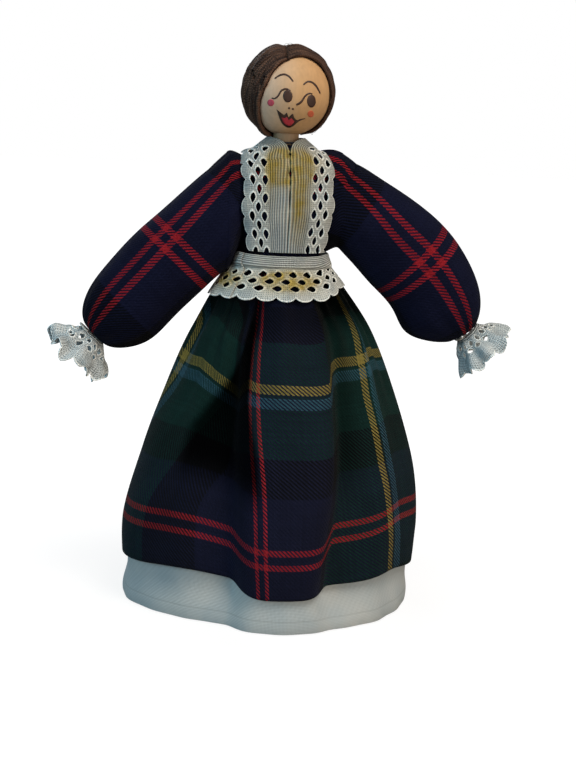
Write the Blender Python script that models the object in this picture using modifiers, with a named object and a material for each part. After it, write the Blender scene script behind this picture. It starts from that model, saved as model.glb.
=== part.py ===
"""Standing cloth doll: a ball head on a peg, stuffed arms on one wire and a gathered skirt.

Metres, +Z up. The doll faces -Y, its left arm points to +X, and the origin is under the middle of its base.
"""

import math

import bmesh
import bpy
from mathutils import Matrix, Vector

MM = 0.001

# Clearances
PEG_CLEARANCE = 0.3 * MM
WIRE_CLEARANCE = 0.3 * MM
CLOTH_GAP = 0.5 * MM
LAYER_GAP = 0.8 * MM
SEAM_GAP = 0.4 * MM

# Cloth
TARTAN_THICKNESS = 0.9 * MM
COTTON_THICKNESS = 0.8 * MM
LACE_THICKNESS = 0.7 * MM
THREAD_DIAMETER = 0.7 * MM

# Wooden base, peg and head
BASE_THICKNESS = 5.0 * MM
BASE_EDGE_CLEARANCE = 1.0 * MM
BASE_SOCKET_DEPTH = 3.0 * MM
PEG_DIAMETER = 9.0 * MM
HEAD_DIAMETER = 30.0 * MM
HEAD_BORE_DEPTH = 11.0 * MM
NECK_SHOWN = 3.2 * MM

# Hair
HAIR_THICKNESS = 1.5 * MM
HAIR_GAP = 0.3 * MM
HAIR_SET_BACK = 0.5 * MM
FACE_OPENING_ANGLE = math.radians(62)
FACE_PITCH = math.radians(7)
NAPE_OPENING_RADIUS = 9.0 * MM
BUN_WIDTH = 17.0 * MM
BUN_DEPTH = 12.0 * MM
BUN_HEIGHT = 14.0 * MM
BUN_DROP = 2.0 * MM
BUN_SINK = 5.0 * MM

# Bodice: the waist seam, the chest, the shoulders and the neck edge
WAIST_HEIGHT = 121.0 * MM
WAIST_HALF_WIDTH = 16.6 * MM
WAIST_HALF_DEPTH = 12.8 * MM
CHEST_RISE = 17.0 * MM
CHEST_HALF_WIDTH = 16.9 * MM
CHEST_HALF_DEPTH = 13.6 * MM
ARMHOLE_RISE = 29.0 * MM
ARMHOLE_HALF_WIDTH = 16.3 * MM
ARMHOLE_HALF_DEPTH = 12.9 * MM
SHOULDER_RISE = 37.0 * MM
SHOULDER_HALF_WIDTH = 14.4 * MM
SHOULDER_HALF_DEPTH = 10.4 * MM
YOKE_RISE = 40.4 * MM
YOKE_HALF_WIDTH = 10.2 * MM
YOKE_HALF_DEPTH = 8.2 * MM
NECK_RISE = 42.5 * MM
NECK_RADIUS = 6.2 * MM
BODICE_SQUARENESS = 2.7
ROUND_SQUARENESS = 2

# Skirt and petticoat
SKIRT_HALF_WIDTH = 54.0 * MM
SKIRT_HALF_DEPTH = 48.0 * MM
SKIRT_FULL_HEIGHT = 28.0 * MM
SKIRT_FLARE_POWER = 1.5
SKIRT_FLARE_CURVE = 0.85
SKIRT_HEM_HEIGHT = 12.0 * MM
SKIRT_HEM_RISE = 4.0 * MM
HEM_TUCK = 2.5 * MM
PETTICOAT_HEM_HEIGHT = 0.6 * MM
PETTICOAT_DROP = 4.0 * MM
PETTICOAT_FLARE = 3.0 * MM
PETTICOAT_FLARE_HEIGHT = 9.0 * MM
WADDING_DROP = 6.0 * MM
FOLD_DEPTH = 7.0 * MM
FOLD_WIDTH = math.radians(12)
FOLD_START = 0.55
# Each fold's angle from the front towards the doll's left, in degrees, and its share of the depth
FOLDS = (
    (-66, 0.5),
    (-30, 1.0),
    (24, 0.9),
    (58, 0.4),
    (106, 0.6),
    (150, 0.5),
    (193, 0.6),
    (236, 0.55),
)

# Arms: one wire through the peg, with a stuffed sleeve on each end
WIRE_DIAMETER = 1.6 * MM
WIRE_RISE = 35.5 * MM
SLEEVE_CLEARANCE = 0.9 * MM
SLEEVE_AXIS_RISE = 25.4 * MM
SLEEVE_LENGTH = 70.0 * MM
SLEEVE_ROOT_RADIUS = 11.0 * MM
SLEEVE_FULL_RADIUS = 15.8 * MM
SLEEVE_FULL_AT = 34.0 * MM
SLEEVE_WRIST_RADIUS = 3.6 * MM
SLEEVE_WRIST_POWER = 3.0
SLEEVE_DEPTH_SHARE = 0.9
SLEEVE_OVERRUN = 24.0 * MM
SHOULDER_RELIEF = math.radians(22)
ARM_DROOP = {"left": math.radians(43.5), "right": math.radians(45)}
ARM_BOW = {"left": 4.0 * MM, "right": 0.0}
WADDING_SHORT = 5.0 * MM
WIRE_SHORT = 7.0 * MM

# Lace: a collar strip round the neck and down the front, a waist strip and a frill at each wrist
COLLAR_BOTTOM_RISE = 3.0 * MM
COLLAR_STAND = 1.8 * MM
COLLAR_SPLIT = math.radians(0.4)
COLLAR_TOP_SPLIT = math.radians(5)
COLLAR_TOP_STAND = 0.5
COLLAR_FRONT_REACH = math.radians(61)
COLLAR_SHOULDER_REACH = math.radians(84)
COLLAR_SIDE_HEADING = math.radians(72)
COLLAR_SIDE_REACH = math.radians(104)
COLLAR_REAR_HEADING = math.radians(126)
COLLAR_REAR_REACH = math.radians(135)
COLLAR_BACK_EDGE = 0.76
WAIST_LACE_RISE = 5.0 * MM
WAIST_LACE_DROP = 9.3 * MM
WAIST_LACE_STEP_IN = math.radians(22)
CUFF_NECK_RADIUS = 4.9 * MM
CUFF_EDGE_RADIUS = 11.5 * MM
CUFF_REACH = 10.0 * MM
CUFF_RUFFLE = 1.8 * MM
CUFF_RUFFLES = 6

# How finely each surface is divided
SKIRT_COLUMNS = 60
SKIRT_ROWS = 9
PETTICOAT_ROWS = 7
PETTICOAT_CROWDING = 1.6
WADDING_ROWS = 6
BODICE_COLUMNS = 28
BODICE_ROWS = 9
SLEEVE_COLUMNS = 18
SLEEVE_ROWS = 14
COLLAR_COLUMNS = 40
COLLAR_ROWS = 3
WAIST_LACE_COLUMNS = 44
WAIST_LACE_ROWS = 4
CUFF_COLUMNS = 36
CUFF_ROWS = 3
ROUND_SEGMENTS = 28
BALL_RINGS = 16
TIE_POINTS = 24
TIE_BEVEL_STEPS = 1
WIRE_BEVEL_STEPS = 2
CUTTER_OVERRUN = 2.0 * MM
WELD = 0.001 * MM
SHARP_ANGLE = math.radians(40)
SURFACE_STEP = 0.001
SLOPE_STEP = 0.05 * MM
HALVINGS = 30

# Heights and places that follow from the sizes above
NECK_HEIGHT = WAIST_HEIGHT + NECK_RISE
HEAD_RADIUS = HEAD_DIAMETER / 2
HEAD_CENTRE = Vector((0, 0, NECK_HEIGHT + NECK_SHOWN + HEAD_RADIUS))
PEG_BOTTOM = BASE_THICKNESS - BASE_SOCKET_DEPTH + PEG_CLEARANCE
PEG_TOP = HEAD_CENTRE.z - HEAD_RADIUS + HEAD_BORE_DEPTH - PEG_CLEARANCE
WIRE_HEIGHT = WAIST_HEIGHT + WIRE_RISE
SLEEVE_PLANE = max(WAIST_HALF_WIDTH, CHEST_HALF_WIDTH, ARMHOLE_HALF_WIDTH) + SLEEVE_CLEARANCE
PIVOT_REACH = SLEEVE_PLANE - WIRE_DIAMETER / 2
PETTICOAT_INSET = TARTAN_THICKNESS + LAYER_GAP
WADDING_INSET = PETTICOAT_INSET + COTTON_THICKNESS + LAYER_GAP
FORWARD = Vector((0, -1, 0))
UP = Vector((0, 0, 1))
SIDES = {"left": 1, "right": -1}


def clear_scene():
    for old in list(bpy.data.objects):
        bpy.data.objects.remove(old, do_unlink=True)


def new_collection(name):
    made = bpy.data.collections.new(name)
    bpy.context.scene.collection.children.link(made)
    return made


def new_material(name, colour, roughness, metallic=0.0):
    made = bpy.data.materials.new(name)
    made.use_nodes = True
    shader = made.node_tree.nodes["Principled BSDF"]
    shader.inputs["Base Color"].default_value = (*colour, 1)
    shader.inputs["Roughness"].default_value = roughness
    shader.inputs["Metallic"].default_value = metallic
    return made


clear_scene()
PARTS = new_collection("cloth_doll")
CUTTERS = new_collection("cutters")

TARTAN = new_material("tartan", (0.012, 0.018, 0.055), 0.9)
COTTON = new_material("cotton", (0.62, 0.64, 0.64), 0.9)
LACE = new_material("lace", (0.66, 0.66, 0.63), 0.85)
WADDING = new_material("wadding", (0.80, 0.78, 0.72), 1.0)
SKIN_PAINT = new_material("skin_paint", (0.58, 0.38, 0.24), 0.45)
PLAIN_WOOD = new_material("plain_wood", (0.55, 0.38, 0.22), 0.65)
HAIR = new_material("hair", (0.045, 0.022, 0.013), 0.6)
STEEL_WIRE = new_material("steel_wire", (0.50, 0.50, 0.50), 0.35, 1.0)
THREAD = new_material("thread", (0.70, 0.69, 0.65), 0.85)


# Objects and modifiers


def add_empty(name, location, parent=None):
    made = bpy.data.objects.new(name, None)
    PARTS.objects.link(made)
    made.matrix_world = Matrix.Translation(location)
    hang_on(made, parent)
    return made


def hang_on(child, parent):
    """Parents an object that is already in place."""
    if parent is None:
        return
    bpy.context.view_layer.update()
    child.parent = parent
    child.matrix_parent_inverse = parent.matrix_world.inverted()


def add_mesh(name, shape, material, parent=None, collection=PARTS):
    mesh = bpy.data.meshes.new(name)
    shape.to_mesh(mesh)
    shape.free()
    mesh.materials.append(material)
    mesh.shade_smooth()
    made = bpy.data.objects.new(name, mesh)
    collection.objects.link(made)
    hang_on(made, parent)
    return made


def solidify(target, thickness):
    """Thickens a sheet from its outer side inwards."""
    shell = target.modifiers.new("thickness", "SOLIDIFY")
    shell.thickness = thickness
    shell.offset = -1
    shell.use_even_offset = True


def cut(target, cutter):
    boolean = target.modifiers.new("cut_" + cutter.name, "BOOLEAN")
    boolean.operation = "DIFFERENCE"
    boolean.object = cutter


def add_cutter(name, shape):
    made = add_mesh(name, shape, PLAIN_WOOD, collection=CUTTERS)
    made.hide_render = True
    made.display_type = "WIRE"
    return made


def rod_shape(start, end, radius, end_radius=None):
    """A cylinder, or a cone, between two points."""
    start, end = Vector(start), Vector(end)
    along = end - start
    shape = bmesh.new()
    bmesh.ops.create_cone(
        shape,
        cap_ends=True,
        segments=ROUND_SEGMENTS,
        radius1=radius,
        radius2=radius if end_radius is None else end_radius,
        depth=along.length,
    )
    turn = UP.rotation_difference(along).to_matrix().to_4x4()
    place = Matrix.Translation((start + end) / 2) @ turn
    bmesh.ops.transform(shape, matrix=place, verts=shape.verts)
    return shape


def ball_shape(centre, half_sizes):
    shape = bmesh.new()
    bmesh.ops.create_uvsphere(
        shape, u_segments=ROUND_SEGMENTS, v_segments=BALL_RINGS, radius=1
    )
    bmesh.ops.scale(shape, vec=half_sizes, verts=shape.verts)
    bmesh.ops.translate(shape, vec=centre, verts=shape.verts)
    return shape


def grid_shape(columns, rows, place, closed):
    """A grid whose points go where place(across, down) says, with its ends welded where it is closed."""
    shape = bmesh.new()
    bmesh.ops.create_grid(shape, x_segments=columns, y_segments=rows, size=1)
    for vertex in shape.verts:
        vertex.co = place((vertex.co.x + 1) / 2, (vertex.co.y + 1) / 2)
    if closed:
        bmesh.ops.remove_doubles(shape, verts=shape.verts, dist=WELD)
    return shape


def face_outwards(shape, inside):
    """Turns a sheet's faces so that they look away from what it is wrapped round."""
    bmesh.ops.recalc_face_normals(shape, faces=shape.faces)
    shape.normal_update()
    outward = sum(
        (face.calc_center_median() - inside(face)).dot(face.normal) * face.calc_area()
        for face in shape.faces
    )
    if outward < 0:
        bmesh.ops.reverse_faces(shape, faces=shape.faces)


def close_ends(shape):
    open_edges = [edge for edge in shape.edges if edge.is_boundary]
    bmesh.ops.holes_fill(shape, edges=open_edges, sides=0)
    bmesh.ops.recalc_face_normals(shape, faces=shape.faces)


def on_axis(face):
    """The point of the doll's own axis beside a face."""
    return Vector((0, 0, face.calc_center_median().z))


def add_wire(name, points, diameter, material, parent=None, ring=False):
    curve = bpy.data.curves.new(name, "CURVE")
    curve.dimensions = "3D"
    curve.bevel_depth = diameter / 2
    curve.bevel_resolution = TIE_BEVEL_STEPS if ring else WIRE_BEVEL_STEPS
    curve.use_fill_caps = True
    curve.materials.append(material)
    spline = curve.splines.new("POLY")
    spline.points.add(len(points) - 1)
    spline.use_cyclic_u = ring
    for target, point in zip(spline.points, points):
        target.co = (*point, 1)
    made = bpy.data.objects.new(name, curve)
    PARTS.objects.link(made)
    hang_on(made, parent)
    return made


# Curves and surfaces


def ease(share):
    share = min(1, max(0, share))
    return share * share * (3 - 2 * share)


def through(stops, share):
    """A point of a smooth curve through the stops, at a share of its way."""
    last = len(stops) - 1
    place = min(1, max(0, share)) * last
    index = min(int(place), last - 1)
    t = place - index
    before = stops[max(index - 1, 0)]
    after = stops[min(index + 2, last)]
    values = []
    for p0, p1, p2, p3 in zip(before, stops[index], stops[index + 1], after):
        bend = 2 * p0 - 5 * p1 + 4 * p2 - p3
        turn = 3 * (p1 - p2) + p3 - p0
        values.append(0.5 * (2 * p1 + (p2 - p0) * t + bend * t**2 + turn * t**3))
    return values


def signed_power(value, power):
    return math.copysign(abs(value) ** power, value)


def bodice_point(angle, share, inset=0.0):
    """A point of the bodice: angle 0 is the front, and share 0 is the waist seam and 1 the neck edge."""
    seam = WAIST_HEIGHT + SEAM_GAP
    stops = (
        (WAIST_HALF_WIDTH, WAIST_HALF_DEPTH, seam, BODICE_SQUARENESS),
        (CHEST_HALF_WIDTH, CHEST_HALF_DEPTH, WAIST_HEIGHT + CHEST_RISE, BODICE_SQUARENESS),
        (ARMHOLE_HALF_WIDTH, ARMHOLE_HALF_DEPTH, WAIST_HEIGHT + ARMHOLE_RISE, BODICE_SQUARENESS),
        (SHOULDER_HALF_WIDTH, SHOULDER_HALF_DEPTH, WAIST_HEIGHT + SHOULDER_RISE, BODICE_SQUARENESS),
        (YOKE_HALF_WIDTH, YOKE_HALF_DEPTH, WAIST_HEIGHT + YOKE_RISE, ROUND_SQUARENESS),
        (NECK_RADIUS, NECK_RADIUS, NECK_HEIGHT, ROUND_SQUARENESS),
    )
    width, depth, height, squareness = through(stops, share)
    across = signed_power(math.sin(angle), 2 / squareness)
    ahead = signed_power(math.cos(angle), 2 / squareness)
    point = Vector((width * across, -depth * ahead, height))
    return point - inset * bodice_normal(angle, share) if inset else point


def bodice_normal(angle, share):
    step = SURFACE_STEP
    low, high = max(0, share - step), min(1, share + step)
    up = bodice_point(angle, high) - bodice_point(angle, low)
    side = bodice_point(angle + step, share) - bodice_point(angle - step, share)
    return side.cross(up).normalized()


def bodice_share(rise):
    """How far up the bodice a height over the waist lies, found by halving."""
    low, high = 0.0, 1.0
    for _ in range(HALVINGS):
        middle = (low + high) / 2
        if bodice_point(0, middle).z < WAIST_HEIGHT + rise:
            low = middle
        else:
            high = middle
    return low


def valley(angle):
    """How deep the skirt's folds run at an angle, from 0 on a ridge to 1 in the deepest fold."""
    depth = 0.0
    for degrees, share in FOLDS:
        away = math.remainder(angle - math.radians(degrees), math.tau)
        depth += share * math.exp(-((away / FOLD_WIDTH) ** 2))
    return depth


def skirt_radius(angle, height):
    fall = (WAIST_HEIGHT - height) / (WAIST_HEIGHT - SKIRT_FULL_HEIGHT)
    share = min(1, max(0, fall))
    flare = (1 - (1 - share) ** SKIRT_FLARE_POWER) ** SKIRT_FLARE_CURVE
    tuck = HEM_TUCK * max(0, 1 - height / SKIRT_FULL_HEIGHT) ** 2
    width = WAIST_HALF_WIDTH + (SKIRT_HALF_WIDTH - WAIST_HALF_WIDTH) * flare - tuck
    depth = WAIST_HALF_DEPTH + (SKIRT_HALF_DEPTH - WAIST_HALF_DEPTH) * flare - tuck
    oval = width * depth / math.hypot(depth * math.sin(angle), width * math.cos(angle))
    return oval - FOLD_DEPTH * ease(share / FOLD_START) * valley(angle)


def skirt_point(angle, height, inset=0.0):
    """A point of the skirt's outer side, or of a layer this far under it."""
    step = SLOPE_STEP
    radius = skirt_radius(angle, height)
    slope = (skirt_radius(angle, height + step) - skirt_radius(angle, height - step)) / (2 * step)
    length = math.hypot(1, slope)
    radius -= inset / length
    height += inset * slope / length
    return Vector((radius * math.sin(angle), -radius * math.cos(angle), height))


# Wooden core


def make_base_plate():
    """An oval board inside the petticoat's folds, flat underneath, with a blind socket for the peg."""
    deepest = FOLD_DEPTH * max(share for _, share in FOLDS)
    edge = HEM_TUCK + deepest + COTTON_THICKNESS + BASE_EDGE_CLEARANCE
    shape = rod_shape((0, 0, 0), (0, 0, BASE_THICKNESS), 1)
    oval = (SKIRT_HALF_WIDTH - edge, SKIRT_HALF_DEPTH - edge, 1)
    bmesh.ops.scale(shape, vec=oval, verts=shape.verts)
    plate = add_mesh("base_plate", shape, PLAIN_WOOD)
    plate.data.set_sharp_from_angle(angle=SHARP_ANGLE)
    bottom = (0, 0, BASE_THICKNESS - BASE_SOCKET_DEPTH)
    top = (0, 0, BASE_THICKNESS + CUTTER_OVERRUN)
    socket = rod_shape(bottom, top, PEG_DIAMETER / 2 + PEG_CLEARANCE)
    cut(plate, add_cutter("base_socket", socket))


def make_peg(wire_bore):
    shape = rod_shape((0, 0, PEG_BOTTOM), (0, 0, PEG_TOP), PEG_DIAMETER / 2)
    peg = add_mesh("spine_peg", shape, SKIN_PAINT)
    peg.data.set_sharp_from_angle(angle=SHARP_ANGLE)
    cut(peg, wire_bore)


def make_head(parent):
    ball = ball_shape(HEAD_CENTRE, (HEAD_RADIUS,) * 3)
    head = add_mesh("head_ball", ball, SKIN_PAINT, parent)
    low = HEAD_CENTRE.z - HEAD_RADIUS
    bore = rod_shape(
        (0, 0, low - CUTTER_OVERRUN),
        (0, 0, low + HEAD_BORE_DEPTH),
        PEG_DIAMETER / 2 + PEG_CLEARANCE,
    )
    cut(head, add_cutter("head_bore", bore))


def make_hair(parent):
    """A cap of hair with an opening for the face and one for the neck, and a bun behind it."""
    radius = HEAD_RADIUS + HAIR_GAP + HAIR_THICKNESS
    centre = HEAD_CENTRE + Vector((0, HAIR_SET_BACK, 0))
    cap = add_mesh("hair_cap", ball_shape(centre, (radius,) * 3), HAIR, parent)
    hollow = ball_shape(HEAD_CENTRE, (HEAD_RADIUS + HAIR_GAP,) * 3)
    cut(cap, add_cutter("hair_hollow", hollow))
    look = Vector((0, -math.cos(FACE_PITCH), -math.sin(FACE_PITCH)))
    reach = radius + CUTTER_OVERRUN
    face = rod_shape(
        HEAD_CENTRE,
        HEAD_CENTRE + reach * look,
        0,
        reach * math.tan(FACE_OPENING_ANGLE),
    )
    cut(cap, add_cutter("face_opening", face))
    nape = rod_shape(
        HEAD_CENTRE - UP * reach, HEAD_CENTRE, NAPE_OPENING_RADIUS
    )
    cut(cap, add_cutter("nape_opening", nape))

    bun_centre = centre + Vector((0, radius + BUN_DEPTH / 2 - BUN_SINK, -BUN_DROP))
    halves = (BUN_WIDTH / 2, BUN_DEPTH / 2, BUN_HEIGHT / 2)
    bun = add_mesh("hair_bun", ball_shape(bun_centre, halves), HAIR, parent)
    seat = ball_shape(centre, (radius + HAIR_GAP,) * 3)
    cut(bun, add_cutter("bun_seat", seat))


# Skirt, petticoat and their filling


def make_skirt():
    def place(across, down):
        angle = math.tau * across
        hem = SKIRT_HEM_HEIGHT + SKIRT_HEM_RISE * valley(angle)
        return skirt_point(angle, WAIST_HEIGHT + (hem - WAIST_HEIGHT) * down)

    shape = grid_shape(SKIRT_COLUMNS, SKIRT_ROWS, place, closed=True)
    face_outwards(shape, on_axis)
    skirt = add_mesh("skirt", shape, TARTAN)
    solidify(skirt, TARTAN_THICKNESS)


def make_petticoat():
    """A cotton layer that follows the skirt's folds and flares out a little past its line below the hem."""

    def place(across, down):
        angle = math.tau * across
        top = WAIST_HEIGHT - PETTICOAT_DROP
        rise = (1 - down) ** PETTICOAT_CROWDING
        height = PETTICOAT_HEM_HEIGHT + (top - PETTICOAT_HEM_HEIGHT) * rise
        tucked = ease(height / PETTICOAT_FLARE_HEIGHT)
        point = skirt_point(angle, height, PETTICOAT_INSET * tucked)
        outward = Vector((point.x, point.y, 0)).normalized()
        return point + outward * PETTICOAT_FLARE * (1 - tucked)

    shape = grid_shape(SKIRT_COLUMNS, PETTICOAT_ROWS, place, closed=True)
    face_outwards(shape, on_axis)
    petticoat = add_mesh("petticoat", shape, COTTON)
    solidify(petticoat, COTTON_THICKNESS)


def make_skirt_wadding(peg_bore):
    def place(across, down):
        angle = math.tau * across
        bottom = BASE_THICKNESS + CLOTH_GAP
        top = WAIST_HEIGHT - WADDING_DROP
        height = top + (bottom - top) * down
        return skirt_point(angle, height, WADDING_INSET)

    shape = grid_shape(SKIRT_COLUMNS, WADDING_ROWS, place, closed=True)
    close_ends(shape)
    wadding = add_mesh("skirt_wadding", shape, WADDING)
    cut(wadding, peg_bore)


# Bodice and its filling


def make_bodice(wire_bore):
    def place(across, up):
        return bodice_point(math.tau * across, up)

    shape = grid_shape(BODICE_COLUMNS, BODICE_ROWS, place, closed=True)
    face_outwards(shape, on_axis)
    bodice = add_mesh("bodice", shape, TARTAN)
    solidify(bodice, TARTAN_THICKNESS)
    cut(bodice, wire_bore)


def make_torso_wadding(peg_bore, wire_bore):
    first = bodice_share(SEAM_GAP + CLOTH_GAP)
    last = bodice_share(YOKE_RISE)

    def place(across, up):
        share = first + (last - first) * up
        return bodice_point(math.tau * across, share, TARTAN_THICKNESS + CLOTH_GAP)

    shape = grid_shape(BODICE_COLUMNS, WADDING_ROWS, place, closed=True)
    close_ends(shape)
    wadding = add_mesh("torso_wadding", shape, WADDING)
    cut(wadding, peg_bore)
    cut(wadding, wire_bore)


# Arms


def pivot_of(side):
    return Vector((SIDES[side] * PIVOT_REACH, 0, WIRE_HEIGHT))


def sleeve_axis(side, along):
    """A point of a sleeve's bowed middle line, with the way that it runs and the way up from it."""
    droop, bow = ARM_DROOP[side], ARM_BOW[side]
    run = Vector((math.cos(droop), 0, -math.sin(droop)))
    rise = Vector((math.sin(droop), 0, math.cos(droop)))
    root = Vector((SLEEVE_PLANE, 0, WAIST_HEIGHT + SLEEVE_AXIS_RISE))
    share = max(0, along / SLEEVE_LENGTH)
    lift = bow * math.sin(math.pi * min(1, share))
    tilt = bow * math.pi / SLEEVE_LENGTH * math.cos(math.pi * min(1, share)) if share else 0
    point = root + run * along + rise * lift
    ahead = (run + rise * tilt).normalized()
    above = (rise - run * tilt).normalized()
    mirror = Matrix.Diagonal((SIDES[side], 1, 1))
    return mirror @ point, mirror @ ahead, mirror @ above


def sleeve_radius(along):
    if along < SLEEVE_FULL_AT:
        swell = math.sin(math.pi / 2 * max(0, along) / SLEEVE_FULL_AT)
        return SLEEVE_ROOT_RADIUS + (SLEEVE_FULL_RADIUS - SLEEVE_ROOT_RADIUS) * swell
    share = min(1, (along - SLEEVE_FULL_AT) / (SLEEVE_LENGTH - SLEEVE_FULL_AT))
    taper = math.sqrt(1 - share**SLEEVE_WRIST_POWER)
    return SLEEVE_WRIST_RADIUS + (SLEEVE_FULL_RADIUS - SLEEVE_WRIST_RADIUS) * taper


def sleeve_point(side, angle, along, inset=0.0):
    centre, _, above = sleeve_axis(side, along)
    radius = sleeve_radius(along) - inset
    up = above * radius * math.cos(angle)
    ahead = FORWARD * radius * SLEEVE_DEPTH_SHARE * math.sin(angle)
    return centre + up + ahead


def sleeve_along(share, length):
    """Rows crowd towards the wrist, where the sleeve rounds off."""
    bend = math.sin(math.pi / 2 * share)
    return -SLEEVE_OVERRUN + (length + SLEEVE_OVERRUN) * bend


def trim_shoulder(shape, side, plane, close):
    """Cuts an arm off beside the bodice, leaning away from the pivot so that it can be raised."""
    hinge = Vector((SIDES[side] * plane, 0, WIRE_HEIGHT))
    for lean in (SHOULDER_RELIEF, 0):
        inwards = Vector((-SIDES[side] * math.cos(lean), 0, math.sin(lean)))
        cut_away = bmesh.ops.bisect_plane(
            shape,
            geom=shape.verts[:] + shape.edges[:] + shape.faces[:],
            plane_co=hinge,
            plane_no=inwards,
            clear_outer=True,
        )
        if close:
            rim = [item for item in cut_away["geom_cut"] if isinstance(item, bmesh.types.BMEdge)]
            bmesh.ops.holes_fill(shape, edges=rim, sides=0)


def make_arm(side, parent):
    def along_axis(face):
        centre = face.calc_center_median()
        root, run, _ = sleeve_axis(side, 0)
        return root + run * (centre - root).dot(run)

    def cloth(across, down):
        along = sleeve_along(down, SLEEVE_LENGTH)
        return sleeve_point(side, math.tau * across, along)

    shape = grid_shape(SLEEVE_COLUMNS, SLEEVE_ROWS, cloth, closed=True)
    trim_shoulder(shape, side, SLEEVE_PLANE, close=False)
    face_outwards(shape, along_axis)
    sleeve = add_mesh("sleeve_" + side, shape, TARTAN, parent)
    solidify(sleeve, TARTAN_THICKNESS)

    def filling(across, down):
        along = sleeve_along(down, SLEEVE_LENGTH - WADDING_SHORT)
        return sleeve_point(side, math.tau * across, along, TARTAN_THICKNESS + CLOTH_GAP)

    shape = grid_shape(SLEEVE_COLUMNS, SLEEVE_ROWS, filling, closed=True)
    close_ends(shape)
    trim_shoulder(shape, side, SLEEVE_PLANE + CLOTH_GAP, close=True)
    bmesh.ops.recalc_face_normals(shape, faces=shape.faces)
    wadding = add_mesh("arm_wadding_" + side, shape, WADDING, parent)

    pivot = pivot_of(side)
    tip = sleeve_axis(side, SLEEVE_LENGTH - WIRE_SHORT)[0]
    add_wire("arm_wire_" + side, [pivot, tip], WIRE_DIAMETER, STEEL_WIRE, parent)
    run = (tip - pivot).normalized()
    bore = rod_shape(
        pivot - run * CUTTER_OVERRUN,
        tip + run * WIRE_CLEARANCE,
        WIRE_DIAMETER / 2 + WIRE_CLEARANCE,
    )
    cut(wadding, add_cutter("arm_wire_bore_" + side, bore))


def make_cuff(side, parent):
    """A gathered frill that opens from the wrist, and the thread that ties it on."""
    wrist, run, above = sleeve_axis(side, SLEEVE_LENGTH)
    tie_radius = SLEEVE_WRIST_RADIUS - THREAD_DIAMETER / 2
    tie_centre = wrist + run * (SEAM_GAP + THREAD_DIAMETER / 2)

    def round_wrist(angle):
        return above * math.cos(angle) + FORWARD * math.sin(angle)

    points = []
    for step in range(TIE_POINTS):
        points.append(tie_centre + tie_radius * round_wrist(math.tau * step / TIE_POINTS))
    add_wire("wrist_tie_" + side, points, THREAD_DIAMETER, THREAD, parent, ring=True)

    slant = math.atan2(CUFF_EDGE_RADIUS - CUFF_NECK_RADIUS, CUFF_REACH)

    def place(across, out):
        angle = math.tau * across
        wave = CUFF_RUFFLE * out * math.cos(CUFF_RUFFLES * angle)
        radius = CUFF_NECK_RADIUS + (CUFF_EDGE_RADIUS - CUFF_NECK_RADIUS) * out
        reach = SEAM_GAP + CUFF_REACH * out
        radius += wave * math.cos(slant)
        reach -= wave * math.sin(slant)
        return wrist + run * reach + radius * round_wrist(angle)

    def on_wrist_axis(face):
        centre = face.calc_center_median()
        return wrist + run * (centre - wrist).dot(run)

    shape = grid_shape(CUFF_COLUMNS, CUFF_ROWS, place, closed=True)
    face_outwards(shape, on_wrist_axis)
    cuff = add_mesh("cuff_lace_" + side, shape, LACE, parent)
    solidify(cuff, LACE_THICKNESS)


# Lace and ties on the body


def collar_edges(share):
    """Where the strip's heading and scalloped edge lie on the bodice, from the front waist to the nape."""
    bottom = bodice_share(COLLAR_BOTTOM_RISE)
    chest = bodice_share(CHEST_RISE)
    armhole = bodice_share(ARMHOLE_RISE)
    shoulder = bodice_share(SHOULDER_RISE)
    yoke = bodice_share(YOKE_RISE)
    stops = (
        (COLLAR_SPLIT, bottom, COLLAR_FRONT_REACH, bottom, 0),
        (COLLAR_SPLIT, chest, COLLAR_FRONT_REACH, chest, 0),
        (COLLAR_SPLIT, armhole, COLLAR_FRONT_REACH, armhole, 0),
        (COLLAR_TOP_SPLIT, yoke, COLLAR_SHOULDER_REACH, shoulder, COLLAR_TOP_STAND),
        (COLLAR_SIDE_HEADING, 1, COLLAR_SIDE_REACH, COLLAR_BACK_EDGE, 1),
        (COLLAR_REAR_HEADING, 1, COLLAR_REAR_REACH, COLLAR_BACK_EDGE, 1),
        (math.pi, 1, math.pi, COLLAR_BACK_EDGE, 1),
    )
    return through(stops, share)


def make_collar():
    """The strip runs from one front edge, round the nape, to the other."""

    def place(along, across):
        from_nape = 2 * along - 1
        heading, heading_up, edge, edge_up, stand = collar_edges(1 - abs(from_nape))
        angle = heading + (edge - heading) * across
        up = heading_up + (edge_up - heading_up) * across
        point = bodice_point(math.copysign(angle, from_nape), up, -(CLOTH_GAP + LACE_THICKNESS))
        return point + UP * COLLAR_STAND * stand * (1 - across) ** 2

    shape = grid_shape(COLLAR_COLUMNS, COLLAR_ROWS, place, closed=False)
    face_outwards(shape, on_axis)
    collar = add_mesh("collar_lace", shape, LACE)
    solidify(collar, LACE_THICKNESS)


def make_waist_lace():
    """A strip round the waist seam whose scalloped edge lies out over the skirt."""
    one_layer = CLOTH_GAP + LACE_THICKNESS

    def place(across, down):
        angle = math.tau * across
        rise = WAIST_LACE_RISE - (WAIST_LACE_RISE + WAIST_LACE_DROP) * down
        from_front = abs(math.remainder(angle, math.tau))
        beside_collar = ease((from_front - COLLAR_FRONT_REACH) / WAIST_LACE_STEP_IN)
        if rise > SEAM_GAP:
            layers = 2 - beside_collar * ease(rise / WAIST_LACE_RISE)
            return bodice_point(angle, bodice_share(rise), -layers * one_layer)
        layers = 2 + rise / WAIST_LACE_DROP
        return skirt_point(angle, WAIST_HEIGHT + rise, -layers * one_layer)

    shape = grid_shape(WAIST_LACE_COLUMNS, WAIST_LACE_ROWS, place, closed=True)
    face_outwards(shape, on_axis)
    lace = add_mesh("waist_lace", shape, LACE)
    solidify(lace, LACE_THICKNESS)


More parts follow.
